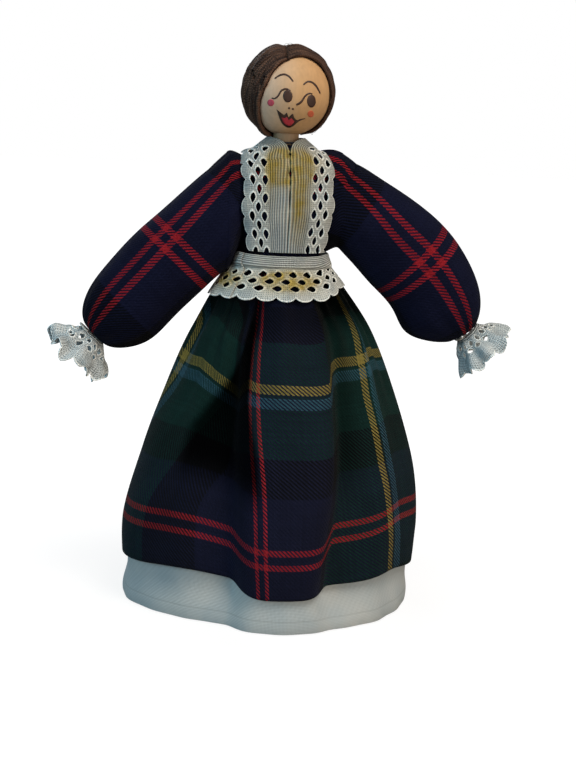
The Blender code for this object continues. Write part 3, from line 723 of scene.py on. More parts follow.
# The neck's paint is the skin's paint darkened: painted shade under the chin
SHADED_NECK_PAINT = paint_material("shaded_neck_paint", (0.30, 0.19, 0.105), 0.62)
WOOD = wood_material()
STEEL = steel_material()
THREAD = thread_material("white_thread", (0.52, 0.51, 0.48), (0.76, 0.75, 0.72))
DARK_THREAD = thread_material("navy_thread", (0.006, 0.007, 0.014), (0.014, 0.016, 0.028))
FILLING = filling_material()
BROWN_PAINT = paint_material("brown_paint", (0.052, 0.022, 0.014), 0.5, 0.3, False)
RED_PAINT = paint_material("red_paint", (0.52, 0.035, 0.055), 0.45, 0.25, False)
PINK_PAINT = paint_material("pink_paint", (0.60, 0.075, 0.12), 0.5, 0.25, False)
ORANGE_PAINT = paint_material("orange_paint", (0.62, 0.13, 0.055), 0.5, 0.25, False)


# Skirt, petticoat and filling. Left and right are as seen from the front here, and near is in degrees


def round_lengths(angles):
    """The cloth's coordinate round the hem, 0 at the front panel's edge, with what a pleat hides."""
    along = lengths_along(skirt_point(angles, SKIRT_FULL))
    along = along + HIDDEN_PLEAT * ramp(np.degrees(angles), 14, 5)
    return along - np.interp(PANEL_EDGE, angles, along)


def hem_height(angle):
    near = np.degrees(wrapped(angle))
    right = ramp(near, 18, 50) * ramp(near, 175, -60)
    left = ramp(near, -30, -50) * ramp(near, -175, 60)
    drawn_up = HEM_DRAWN[0] * bell(near, -48, 18) + HEM_DRAWN[1] * bell(near, 48, 18)
    folded = HEM_FOLDED * valley(angle) * bell(near, 0, 60)
    return HEM + folded + HEM_RISES[0] * left + HEM_RISES[1] * right + drawn_up


def skirt_painted_shade(near, up):
    """Painted shade for the cloth's colour: how far it lies in the shade of its own folds and gathers, from 0
    to 1.
    """
    left = np.interp(up, (35, 50, 60, 70, 80, 100), (-64, -60, -48, -36, -26, -23))
    right = np.interp(up, (30, 50, 65), (-11, -12, -15.6))
    soft = np.interp(up, (50, 80), (12, 3))
    fold = ramp(near, left, soft) * ramp(near, right, -3) * ramp(up, 26, 16)
    fold = fold * np.interp(up, (50, 70), (0.84, 0.97)) * (1 - 0.35 * ramp(up, 90, 12))
    step = 0.5 * bell(near, 23, 8) * ramp(up, 25, 20)
    gathers = (0.4 + 0.5 * ramp(near, 8, 14)) * ramp(up, 84, 14)
    return 1 - (1 - fold) * (1 - step) * (1 - gathers)


def skirt_uv(edges, near, up):
    """The cloth's coordinates, lifted up the skirt and drawn round it from panel to panel, as at pleats."""
    right = ramp(near, 13, 9 - 6.5 * np.clip(up / 80, 0, 1))
    far_right = ramp(near, 20, 60)
    left = np.clip((-near - 15) / 75, 0, 1)
    front = ramp(np.abs(near), 170, -60)
    panel = ramp(near, -30, 8) * ramp(near, 18, -8)
    lifted = right * (4.0 + 2.0 * up / 80) + far_right * (4.5 - 3.5 * up / 80) + left * (2.0 + 3.5 * up / 72)
    dropped = np.interp(near, (-100, -85, -60, -45, -26, -18), (0, 1, 3, 5.8, 8.5, 0))
    lifted = lifted * front - dropped * ramp(up, 25, 40)
    drawn = right * np.interp(up, (0, 10, 40, 65, 80, 95, 110), (-3, -0.8, 7.6, 11, 10.2, 8.2, 6.5))
    hidden = 2 + 34 * ramp(up, 18, 55) - 14 * ramp(up, 85, 20)
    hidden = hidden * (1 - ramp(near, -75, -100))
    drawn = drawn - hidden * ramp(near, -24, -8) - panel * 4.0 * (1 - up / 62)
    return cloth_grid(round_lengths(edges) + drawn, up - lifted)


def make_skirt():
    columns, rows = 480, 101
    edges = around(columns)
    hem = hem_height(edges)
    points = skirt_point(edges, hem + (WAIST - hem) * rows_of(rows))
    up = lengths_along(points)
    near = np.degrees(wrapped(edges))
    cloth = tartan("skirt_tartan", 0.0, 14.5, haze=0.1)
    piece = add_grid("skirt_cloth", points[:, :-1], skirt_uv(edges, near, up), cloth, on_axis)
    # The shade of the folds and gathers, painted into the cloth's colour
    set_attribute(piece, "painted_fold_shade", skirt_painted_shade(near, up)[:, :-1])
    thicken(piece, SKIRT_THICKNESS)
    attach(piece, "body")
    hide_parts("skirt")


def make_petticoat():
    columns, rows = 360, 60
    floor, top = 0.3, WAIST - 4.0
    edges = around(columns)
    heights = floor + (top - floor) * rows_of(rows) ** 1.7
    low = ramp(heights, 15, -15)
    flare = through(PETTICOAT_FLARE, (wrapped(edges) + np.pi) / (2 * np.pi))[..., 0]
    out = -1.9 * ease(heights / HEM) + flare * low
    out = out + 0.45 * low * ripple(edges, (11, 17, 23), 8)
    points = skirt_point(edges, heights, out)
    points = points + (0.6 * FOLD_DEPTH * low * valley(edges))[..., None] * unit(points * (1, 1, 0))
    points[..., 2] = np.where(heights < HEM, heights, points[..., 2])
    uv = cloth_grid(edges * PETTICOAT_MEAN, lengths_along(points))
    piece = add_grid("petticoat_cloth", points[:, :-1], uv, COTTON, on_axis)
    thicken(piece, PETTICOAT_THICKNESS)
    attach(piece, "body")
    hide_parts("petticoat")


def lumps(points, size, height, seed):
    """Soft lumps, as loose fibre has."""
    rng = np.random.default_rng(seed)
    total = 0
    for _ in range(5):
        way = unit(rng.normal(size=3)) * (2 * np.pi / size) * rng.uniform(0.7, 1.4)
        total = total + np.sin(points @ way + rng.uniform(0, 6.28))
    return height * total / 5


# How far the filling stays inside its rings, and the size and height of its lumps
FILLING_INSET = 0.6
LUMP_SIZE = 14
LUMP_HEIGHT = 0.5
LUMP_SEED = 5


def add_filling(name, node_name, points, inside, cap_low, cap_high):
    """A closed, lumpy body from rings of points."""
    rows, columns = points.shape[:2]
    away = unit(points - points.mean(1, keepdims=True))
    lumpy = lumps(points, LUMP_SIZE, LUMP_HEIGHT, LUMP_SEED)
    points = points - away * (FILLING_INSET + lumpy[..., None])
    flat = np.concatenate([points.reshape(-1, 3), [cap_low], [cap_high]])
    walls = quads(rows, columns)
    faces = walls.tolist()
    top = (rows - 1) * columns
    for column in range(columns):
        beside = (column + 1) % columns
        faces.append((beside, column, rows * columns))
        faces.append((top + column, top + beside, rows * columns + 1))
    if not faces_outwards(flat, walls, inside):
        faces = [face[::-1] for face in faces]
    piece = add_mesh(name, flat, faces, FILLING)
    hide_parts(node_name)
    return piece


def leaned(points):
    """The waist stands a little to the doll's right of the chest."""
    points[..., 0] -= 1.2 * bell(points[..., 2], 128, 6)
    return points


def make_body_filling():
    angles = circle(120)
    low, high, inset = 6.0, 112.0, -4.0
    points = skirt_point(angles, low + (high - low) * rows_of(40), inset)
    piece = add_filling("skirt_filling", "skirt_wadding", points, on_axis, (0, 0, low), (0, 0, high + 1))
    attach(piece, "body")
    low, high, inset = 122.5, 160.0, -1.6
    start, end = bodice_share(low), bodice_share(high)
    points = leaned(bodice_point(angles, start + (end - start) * rows_of(24), inset))
    caps = (0, 0, low - 0.2), (0, 0, high + 0.2)
    piece = add_filling("torso_filling", "torso_wadding", points, on_axis, *caps)
    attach(piece, "body")


def make_bodice():
    angles, shares = around(120), rows_of(60)
    points = bodice_point(angles, shares)
    crease = 0.25 * ripple(points[..., 2] / 9 + 3 * angles, (3, 5), 2) * ease(shares * 4)
    points = points + crease[..., None] * unit(points - on_axis(points))
    uv = cloth_grid(angles * BODICE_MEAN, lengths_along(points))
    cloth = tartan("bodice_tartan", 20.0, 30.0)
    piece = add_grid("bodice_cloth", leaned(points)[:, :-1], uv, cloth, on_axis)
    thicken(piece, BODICE_THICKNESS)
    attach(piece, "body")
    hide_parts("bodice")


# Arms


def sleeve_surface(side, angle, along, inset=0.0):
    """A point of a sleeve with its gathers at the wrist and shoulder and its soft dents."""
    centre, _, above = sleeve_axis(side, along)
    seed = SLEEVE_SEED[side]
    wrist = np.exp(-(SLEEVE_LENGTH - along) / 8)
    shoulder = np.exp(-np.maximum(0, along + 4) / 9)
    middle = np.sin(np.pi * np.clip(along / SLEEVE_LENGTH, 0, 1))
    radius = sleeve_radius(along) - inset + FULLER[side] * middle
    radius = radius + SAG[side] * bell(along, *SAG_PLACE) * np.maximum(0, -np.cos(angle)) ** 2
    radius = radius + BELLY[side] * bell(along, *BELLY_PLACE) * np.maximum(0, -np.cos(angle + 0.3)) ** 2
    radius = radius + HUMP[side] * bell(along, *HUMP_PLACE) * np.maximum(0, np.cos(angle)) ** 2
    radius = radius - 1.5 * wrist * (1 - wrist * 0.75) * (1 + ripple(angle, (8, 11, 13), seed))
    radius = radius - 0.5 * shoulder * (1 + ripple(angle, (9, 13), seed + 5))
    sway = np.sin(along / 6.5 + 2.2 * np.cos(angle) + seed) * np.sin(angle * 2 + along / 15)
    radius = radius + 0.35 * middle * sway
    up = above * (radius * np.cos(angle))[..., None]
    ahead = np.array((0.0, -SLEEVE_FLATNESS, 0.0)) * (radius * np.sin(angle))[..., None]
    return centre + up + ahead


def sleeve_start(side, angles, inset, plane):
    """How far along the sleeve each of its lines crosses an upright plane beside the bodice, step by step."""
    along = np.zeros_like(angles)
    for _ in range(40):
        point = sleeve_surface(side, angles, along, inset)
        along = along + 0.7 * (plane - point[:, 0]) / math.cos(DROOP[side])
    return along


def armhole(side, angles, out):
    """The seam on the bodice's side, by the sleeve's own angle."""
    height = ARMHOLE_MIDDLE + ARMHOLE_HALF[side] * np.cos(angles)
    turn = np.radians(90 - ARMHOLE_TURN * np.sin(angles))
    return bodice_point(turn, bodice_share(height), out)


def sleeve_grid(side, columns, rows, inset, plane, end):
    angles = around(columns)
    start = sleeve_start(side, angles, inset, plane)
    share = rows_of(rows)
    along = start + (end - start) * np.sin(np.pi / 2 * share) ** 1.15
    points = sleeve_surface(side, np.broadcast_to(angles, along.shape), along, inset)
    points[..., 0] *= SIDES[side]
    return angles, along, points


def sleeve_round(side, angles, along):
    """The cloth's coordinate round a sleeve, whose grain turns a little on its way to the wrist."""
    return SLEEVE_MEAN * (angles - np.radians(TWIST[side]) * ramp(along, -12, 42))


def make_shoulder(side, cloth):
    """The sleeve's head, from the seam on the bodice to where the sleeve's own cloth begins."""
    columns, rows = 200, 24
    mirror = SIDES[side]
    angles = around(columns)
    along = sleeve_start(side, angles, 0.0, SHOULDER_END + 0.6)
    seam, over = armhole(side, angles, 0.55), armhole(side, angles, 1.55)
    end = sleeve_surface(side, angles, along)
    after = sleeve_surface(side, angles, along + 0.5)
    span = np.linalg.norm(end - seam, axis=1)[:, None]
    leave = unit(unit(end - seam) + SLEEVE_HEAD_LEAN[side] * (over - seam)) * span
    arrive = (after - end) / 0.5 * span
    t = rows_of(rows)[..., None]
    points = (2 * t**3 - 3 * t**2 + 1) * seam + (t**3 - 2 * t**2 + t) * leave
    points = points + (3 * t**2 - 2 * t**3) * end + (t**3 - t**2) * arrive
    lengths = lengths_along(points)
    back = lengths - lengths[-1]
    uv = cloth_grid(sleeve_round(side, angles, along + back) - SLEEVE_HEAD_SKEW[side] * back, along + back)
    points[..., 0] *= mirror
    middle = np.array((mirror * SHOULDER_END, 0, 143.0))
    piece = add_grid("sleeve_head_" + side, points[:, :-1], uv, cloth, lambda _: middle)
    thicken(piece, SLEEVE_HEAD_THICKNESS)
    start, end = (mirror * 15.0 * MM, 0, 0.146), (mirror * SHOULDER_END * MM, 0, 0.146)
    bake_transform(piece)
    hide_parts("sleeve_" + side)


def make_arm(side, stripe_angle, stripe_along):
    mirror = SIDES[side]
    columns, rows, inset = 200, 110, 0.12
    angles, along, points = sleeve_grid(side, columns, rows, inset, SHOULDER_END, SLEEVE_LENGTH)

    def on_sleeve(middle):
        run = sleeve_axis(side, np.zeros(1))[1][0]
        place = np.clip((middle * (mirror, 1, 1) - SLEEVE_ROOT) @ run, 0, SLEEVE_LENGTH)
        return sleeve_axis(side, place)[0] * (mirror, 1, 1)

    uv = cloth_grid(sleeve_round(side, angles, along), along)
    stripe_round = math.radians(stripe_angle) * SLEEVE_MEAN
    cloth = tartan("sleeve_tartan_" + side, stripe_round, stripe_along, (SLEEVE_ROUND, SLEEVE_ALONG))
    piece = add_grid("sleeve_cloth_" + side, points[:, :-1], uv, cloth, on_sleeve)
    thicken(piece, SLEEVE_THICKNESS)
    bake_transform(piece)
    make_shoulder(side, cloth)
    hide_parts("sleeve_" + side)

    columns, rows, inset = 48, 30, 2.4
    _, _, points = sleeve_grid(side, columns, rows, inset, SHOULDER_END + 0.5, SLEEVE_LENGTH - 6)
    low, high = points[0].mean(0), points[-2].mean(0)
    filling = add_filling("arm_filling_" + side, "arm_wadding_" + side, points[:, :-1], on_sleeve, low, high)
    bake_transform(filling)


# Lace


def lace_field(u, v, holes):
    """Above 0 where the strip has thread: scallops on one edge and staggered rows of holes."""
    place = (u / LACE_PITCH) % 1
    field = LACE_WIDTH - SCALLOP_DEPTH + SCALLOP_DEPTH * np.sqrt(1 - 0.97 * (2 * place - 1) ** 2) - v
    for row, half_width, half_length, shift in holes:
        along = ((u / LACE_PITCH + shift) % 1 - 0.5) * LACE_PITCH
        lean = along / half_length
        across = (v - row) / (half_width * (1 + 0.35 * lean))
        hole = (np.hypot(across, lean) + 0.35 * np.abs(across * lean) - 1) * half_width
        field = np.minimum(field, hole)
    return field


def lace_net(length, first, holes):
    """Points and faces of a flat strip, cut along the field's edge so that its holes are open."""
    across = np.linspace(first, LACE_WIDTH, int((LACE_WIDTH - first) / LACE_STEP) + 1)
    along = np.linspace(0, length, int(length / LACE_STEP) + 1)
    u, v = np.meshgrid(along, across, indexing="ij")
    field = lace_field(u, v, holes)
    points, faces, known = [], [], {}

    def number(key, point):
        if key not in known:
            known[key] = len(points)
            points.append(point)
        return known[key]

    def crossing(a, b):
        share = field[a] / (field[a] - field[b])
        return u[a] + (u[b] - u[a]) * share, v[a] + (v[b] - v[a]) * share

    for i in range(len(along) - 1):
        for j in range(len(across) - 1):
            ring = ((i, j), (i + 1, j), (i + 1, j + 1), (i, j + 1))
            face = []
            for here, after in zip(ring, ring[1:] + ring[:1]):
                if field[here] > 0:
                    face.append(number(here, (u[here], v[here])))
                if (field[here] > 0) != (field[after] > 0):
                    face.append(number((min(here, after), max(here, after)), crossing(here, after)))
            if len(face) > 2:
                faces.append(tuple(face))
    return np.array(points), faces


def add_lace(name, node_name, body, length, first, place, stain, material, holes=LACE_HOLES):
    """Lays a flat strip of lace where place(u, v) says. stain(points, flat) gives its stains."""
    flat, faces = lace_net(length, first, holes)
    points = place(flat[:, 0], flat[:, 1])
    loops = np.concatenate([flat[list(face)] for face in faces])
    piece = add_mesh(name, points, faces, material, loops)
    set_attribute(piece, "stain", stain(points, flat))
    set_attribute(piece, "rim", lace_field(flat[:, 0], flat[:, 1], holes))
    thicken(piece, LACE_THICKNESS, 0)
    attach(piece, body)
    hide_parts(node_name)
    return piece


def blots(points, spots):
    """Soft stains: how strong each is, where its middle lies and how far it reaches each way."""
    total = 0
    for strength, centre, reach in spots:
        total = total + strength * np.exp(-((((points - centre) / reach) ** 2).sum(-1)))
    return total


# The collar from the waist to the nape: angle and height of its heading, the same of its edge, and its stand
COLLAR_STOPS = (
    (0.1, 126.6, 57, 126.6, 0.0),
    (0.1, 138.0, 59, 138.0, 0.0),
    (0.1, 150.0, 61, 150.0, 0.0),
    (4, 161.4, 84, 158.0, 0.6),
    (60, 163.5, 104, 158.8, 1.0),
    (126, 163.5, 135, 158.8, 1.0),
    (180, 163.5, 180, 158.8, 1.0),
)
# Degrees taken off the front edges on the doll's right and left, height of the standing edge, and how far the
# strip lies off the bodice, with what is added at its scallops
COLLAR_TRIMS = (5.0, 2.0)
COLLAR_STAND = 1.8
COLLAR_OFF = 0.85
COLLAR_EDGE_OFF = 0.75
COLLAR_STAINS = (
    (2.6, (1.5, -10.0, 156.0), (6.5, 8.0, 5.5)),
    (2.0, (-4.0, -10.5, 156.0), (3.5, 8.0, 4.5)),
    (1.1, (3.4, -13.5, 144.0), (3.2, 6.0, 12.0)),
    (0.5, (-7.0, -13.0, 150.0), (2.5, 6.0, 9.0)),
)
WAIST_STAINS = (
    (2.4, (0.5, -18.0, 118.0), (9.5, 9.0, 9.0)),
    (1.6, (-22.0, -8.0, 116.0), (7.0, 9.0, 8.0)),
)


def make_collar():
    """One strip from the front waist, round the nape, to the front again."""

    def lay(from_nape, across, out):
        stops = through(COLLAR_STOPS, 1 - np.abs(from_nape))
        heading, heading_up, edge, edge_up, stand = np.moveaxis(stops, -1, 0)
        edge = edge - np.where(from_nape < 0, *COLLAR_TRIMS) * (edge < 75)
        angle = np.radians(heading + (edge - heading) * across)
        up = heading_up + (edge_up - heading_up) * across
        point = bodice_point(np.copysign(angle, from_nape), bodice_share(up), out)
        point[..., 2] += COLLAR_STAND * stand * (1 - across) ** 2
        return point

    shares = np.linspace(-1, 1, 600)
    lengths = lengths_along(lay(shares, 0.5, 0.75))

    def place(u, v):
        share = np.interp(u, lengths, shares)
        across = v / LACE_WIDTH
        flutter = 0.3 * across**2 * (1 + np.sin(u * 2 * np.pi / LACE_PITCH / 2))
        return lay(share, across, COLLAR_OFF + COLLAR_EDGE_OFF * ramp(across, 0.55, 0.3) + flutter)

    def stain(points, flat):
        return np.clip(blots(points, COLLAR_STAINS), 0, 1)

    add_lace("collar_strip", "collar_lace", "body", float(lengths[-1]), 0.0, place, stain, LACE)


def make_waist_lace():
    """A strip round the waist whose ends overlap at the front of the doll's right side."""
    start, turn = math.radians(-66), math.radians(374)
    length, top, drop = 128.0, 4.4, 14.9

    def over_skirt(angle, height, out):
        reach = skirt_oval(angle, height) + out
        return np.stack([reach * np.sin(angle), -reach * np.cos(angle), height], -1)

    def place(u, v):
        share = u / length
        angle = start + turn * share
        near = np.degrees(wrapped(angle))
        lift = 2.0 - 0.6 * ramp(np.abs(near), 61, 22) + 0.9 * ramp(share, 0.955, 0.03)
        raised = ramp(near, 25, 50) * ramp(angle, math.radians(170), -0.8)
        rise = top + 0.6 * raised - (drop - 3.6 * raised) * v / LACE_WIDTH
        flutter = 0.45 * (v / LACE_WIDTH) ** 2 * np.sin(angle * 9 + 1)
        above = bodice_point(angle, bodice_share(WAIST + np.maximum(rise, SEAM_GAP)), lift)
        below = over_skirt(angle, WAIST + np.minimum(rise, SEAM_GAP), 0.85 * lift + flutter)
        blend = ramp(rise, -1.5, 3.0)[:, None]
        return above * blend + below * (1 - blend)

    def stain(points, flat):
        return np.clip(blots(points, WAIST_STAINS) * bell(flat[:, 1], 9.0, 3.4), 0, 1)

    add_lace("waist_strip", "waist_lace", "body", length, 0.0, place, stain, WAIST_LACE)


def make_cuff(side):
    """A gathered and crumpled frill of the lace's outer part, opening from the wrist."""
    wrist, ahead, above = (item[0] for item in sleeve_axis(side, np.array([SLEEVE_LENGTH])))
    wrist = wrist + above * CUFF_LIFT[side]
    tip = math.radians(CUFF_TIP[side])
    cosine, sine = math.cos(tip), math.sin(tip)
    ahead, above = ahead * cosine + above * sine, above * cosine - ahead * sine
    across = np.array((0.0, -1.0, 0.0))
    scallops, waves, first = 13, 7, 4.0
    length = scallops * LACE_PITCH
    slant = math.radians(42)
    wrist_radius, opening, depth = 4.2, 7.8, 10.5
    seed = CUFF_SEED[side]

    def place(u, v):
        turn = 2 * np.pi * u / length
        out = (v - first) / (LACE_WIDTH - first)
        swing = 3.4 * out**0.8 * ripple(turn, (waves, waves, waves + 2), seed)
        radius = wrist_radius + opening * out**0.9 + swing * math.cos(slant)
        reach = 0.5 + depth * out - swing * math.sin(slant)
        round_it = above * np.cos(turn)[:, None] + across * np.sin(turn)[:, None]
        point = wrist + ahead * reach[:, None] + round_it * radius[:, None]
        crumple = out * lumps(point, 7.0, 2.2, seed + 10)
        crush = out * lumps(point, 9.0, 2.0, seed + 20)
        point = point + round_it * crumple[:, None] + ahead * crush[:, None]
        return point * (SIDES[side], 1, 1)

    def stain(points, flat):
        return np.zeros(len(points))

    name, node_name, holes = "cuff_frill_" + side, "cuff_lace_" + side, LACE_HOLES[:2]
    add_lace(name, node_name, "arm_" + side, length, first, place, stain, CUFF_LACE, holes)


# Head


def camera_place():
    across, ahead = math.sin(CAMERA_AZIMUTH), -math.cos(CAMERA_AZIMUTH)
    return np.array((CAMERA_REACH * across, CAMERA_REACH * ahead, CAMERA_HEIGHT))


def face_axes():
    """The view from the camera: across it, up it and towards it, at the head."""
    towards = unit(camera_place() - HEAD)
    across = unit(np.cross((0, 0, 1), towards))
    up = np.cross(towards, across)
    cosine, sine = math.cos(-CAMERA_ROLL), math.sin(-CAMERA_ROLL)
    return across * cosine + up * sine, up * cosine - across * sine, towards


FACE_ACROSS, FACE_UP, FACE_TOWARDS = face_axes()


def on_face(flat, lift):
    """Lays a flat drawing on the ball as the camera sees it, across and up from the ball's middle."""
    flat = np.asarray(flat, float)
    depth = np.sqrt(np.maximum(0, HEAD_RADIUS**2 - (flat**2).sum(-1)))
    way = flat[..., :1] * FACE_ACROSS + flat[..., 1:] * FACE_UP + depth[..., None] * FACE_TOWARDS
    return HEAD + unit(way) * (HEAD_RADIUS + lift)


def at_head(_):
    return HEAD


def make_head():
    """A turned ball with a bore for the peg."""
    bore, tiny, columns = 4.8, 0.02, 120
    mouth, end = 6 - HEAD_RADIUS, 11 - HEAD_RADIUS
    polar = np.linspace(0, np.pi - math.asin(bore / HEAD_RADIUS), 80)
    ring = np.stack([HEAD_RADIUS * np.sin(polar), HEAD_RADIUS * np.cos(polar)], -1)
    ring[0, 0] = tiny
    profile = np.concatenate([ring, ((bore, mouth), (bore, end), (tiny, end))])
    turn = circle(columns)
    reach, height = profile[:, :1], profile[:, 1:]
    points = np.stack(np.broadcast_arrays(reach * np.sin(turn), -reach * np.cos(turn), height), -1)
    uv = cloth_grid(np.linspace(0, 94, columns + 1), np.arange(len(profile))[:, None])
    piece = add_grid("painted_head", points + HEAD, uv, SKIN, at_head)
    piece.data.set_sharp_from_angle(angle=math.radians(50))
    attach(piece, "head")
    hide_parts("head_ball")


def stroke(points, widths, count=28):
    """A brush stroke as a strip of flat points: left side, then right side."""
    share = np.linspace(0, 1, count)
    line = through(points, share)
    width = np.interp(share, np.linspace(0, 1, len(widths)), widths) / 2
    side = unit(np.gradient(line, axis=0))[:, ::-1] * (-1, 1)
    return line + side * width[:, None], line - side * width[:, None]


def add_paint(name, shapes, material, lift):
    """Filled shapes and strokes as a thin coat on the ball."""
    points, faces = [], []
    for shape in shapes:
        base = len(points)
        count = len(shape)
        if isinstance(shape, tuple):
            count = len(shape[0])
            for edge in shape:
                points.extend(on_face(edge, lift).tolist())
            for row in range(base, base + count - 1):
                faces.append((row, row + 1, row + count + 1, row + count))
            continue
        centre = shape.mean(0)
        shares = (1.0, 0.75, 0.5, 0.25)
        for share in shares:
            points.extend(on_face(centre + (shape - centre) * share, lift).tolist())
        points.append(on_face(centre, lift).tolist())
        faces.extend((base + quads(len(shares), count)).tolist())
        inner, middle = len(points) - 1 - count, len(points) - 1
        for item in range(count):
            faces.append((inner + item, inner + (item + 1) % count, middle))
    piece = add_mesh(name, np.array(points), faces, material)
    thicken(piece, PAINT_THICKNESS, 0)
    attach(piece, "head")


def disc(x, y, wide, high, lean=0.0, count=36):
    turn = circle(count)
    flat = np.stack([wide * np.cos(turn), high * np.sin(turn)], -1)
    lean = math.radians(lean)
    spin = np.array(((math.cos(lean), math.sin(lean)), (-math.sin(lean), math.cos(lean))))
    return flat @ spin + (x, y)


def outline(points, count):
    """A closed shape with softly rounded corners."""
    closed = np.asarray(points + points[:1], float)
    return through(closed, np.linspace(0, 1, count, endpoint=False))


# The face, drawn flat: points across and up from the ball's middle. A line has its points and its widths
BROW_RIGHT = ((-4.9, 4.0), (-3.4, 5.2), (-1.7, 5.7), (0.0, 5.1), (1.4, 3.6)), (0.35, 0.6, 0.65, 0.6, 0.5)
BROW_LEFT = ((5.0, 2.9), (6.3, 4.0), (7.9, 3.9), (9.6, 2.6), (11.0, 0.5)), (0.5, 0.6, 0.65, 0.6, 0.4)
LASH_RIGHT = (
    ((0.8, 0.5), (-0.6, 1.0), (-2.2, 0.3), (-3.2, -1.5), (-4.2, -2.5), (-5.3, -2.5)),
    (0.5, 0.6, 0.6, 0.55, 0.5, 0.35),
)
LASH_LEFT = (
    ((8.3, 0.1), (7.2, 0.2), (6.0, -0.7), (5.1, -2.3), (4.3, -3.3), (3.2, -4.0)),
    (0.4, 0.55, 0.6, 0.65, 0.75, 0.5),
)
SMILE = ((4.0, -9.6), (5.0, -8.9), (6.6, -8.3)), (0.7, 0.55, 0.25)
UPPER_LIP = [
    *((-3.3, -6.1), (-2.3, -7.2), (-1.2, -7.8), (-0.5, -7.6), (0.2, -6.9), (0.6, -7.7), (1.2, -8.5)),
    *((1.7, -7.7), (2.3, -7.0), (2.8, -8.1), (3.6, -8.9), (4.6, -9.2)),
]
LOWER_LIP = [(3.9, -10.1), (2.7, -11.3), (1.2, -11.9), (-0.5, -11.2), (-1.6, -9.9), (-2.4, -8.2)]
TONGUE = [
    *((-1.35, -8.65), (-0.3, -8.7), (0.4, -8.3), (1.15, -9.4), (1.9, -8.6), (2.6, -9.2), (3.0, -9.7)),
    *((2.3, -10.7), (1.15, -11.25), (-0.2, -10.6), (-1.0, -9.6)),
]


def make_face():
    lines = [stroke(*line) for line in (BROW_RIGHT, BROW_LEFT, LASH_RIGHT, LASH_LEFT, SMILE)]
    nostrils = [disc(0.85, -5.3, 0.36, 0.36), disc(2.15, -5.45, 0.36, 0.36)]
    eyes = [disc(0.05, -1.35, 1.6, 2.1, 8), disc(8.2, -2.3, 1.5, 2.15, 8)]
    add_paint("face_lines", lines + nostrils, BROWN_PAINT, 0.05)
    add_paint("face_eyes", eyes, BROWN_PAINT, 0.06)
    add_paint("face_mouth", [outline(UPPER_LIP + LOWER_LIP, 108)], BROWN_PAINT, 0.07)
    add_paint("face_tongue", [outline(TONGUE, 88)], RED_PAINT, 0.13)
    add_paint("face_cheek_right", [disc(-5.5, -4.05, 1.15, 1.15)], PINK_PAINT, 0.05)
    add_paint("face_cheek_left", [disc(8.4, -6.6, 1.1, 1.15)], ORANGE_PAINT, 0.05)


# The hair round the head as the front shows it: degrees from the top towards the doll's left, where it starts
# from the face's middle, and how far it stands off the ball
HAIR_EDGE = (
    *((-180, 104, 1.9), (-150, 70, 2.1), (-134, 52, 0.3), (-119, 42, 1.3), (-102, 34, 1.2)),
    *((-88, 31, 0.9), (-77, 29, -0.4), (-67, 29, 1.4), (-55, 30, 1.4), (-33, 34, 1.7)),
    *((-7, 42, 2.0), (5, 49, 1.5), (20, 57, 1.5), (44, 65, 1.7), (65, 69, 0.6)),
    *((88, 72, 0.3), (104, 78, 0.6), (120, 84, 1.6), (145, 96, 1.9), (180, 104, 1.9)),
)
HAIR_TURNS, HAIR_STARTS, HAIR_STANDS = np.array(HAIR_EDGE).T
HAIR_SEED = 7
PARTING = -7
STRANDS = 150
STRAND_RADII = (0.3, 0.62)
STRAYS = 70
STRAY_RADIUS = 0.05
ROLL_STRANDS = 60
ROLL_MIDDLE = HEAD + (0, 17.2, -2.0)
ROLL_HALF = (8.0, 5.6, 6.5)
ROLL_RADII = (0.36, 0.5)


def hair_way(polar, turn):
    """A direction by its angle from the face's middle and its turn from the top towards the doll's left."""
    flat = np.cos(turn)[..., None] * FACE_UP + np.sin(turn)[..., None] * FACE_ACROSS
    return np.cos(polar)[..., None] * FACE_TOWARDS + np.sin(polar)[..., None] * flat


def hair_line(turn):
    return np.radians(np.interp(np.degrees(wrapped(turn)), HAIR_TURNS, HAIR_STARTS))


def hair_stand(turn):
    return np.interp(np.degrees(wrapped(turn)), HAIR_TURNS, HAIR_STANDS)


def make_scalp():
    """The layer under the strands."""
    turns, share = around(144), rows_of(40)
    start = hair_line(turns)
    low = np.radians(np.interp(np.degrees(np.abs(turns)), (140, 160, 180), (172, 150, 142)))
    polar = start + (low - start) * share
    rough = 0.12 * ripple(turns * 3 + polar * 5, (3, 7, 11), 5)
    height = HEAD_RADIUS + 0.2 + (0.45 + rough) * ease(share * 6)
    points = HEAD + hair_way(polar, turns) * height[..., None]
    scalp = add_grid("hair_scalp", points[:, :-1], cloth_grid(turns * 30, polar * 15), HAIR, at_head)
    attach(scalp, "head")
    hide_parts("hair_cap")


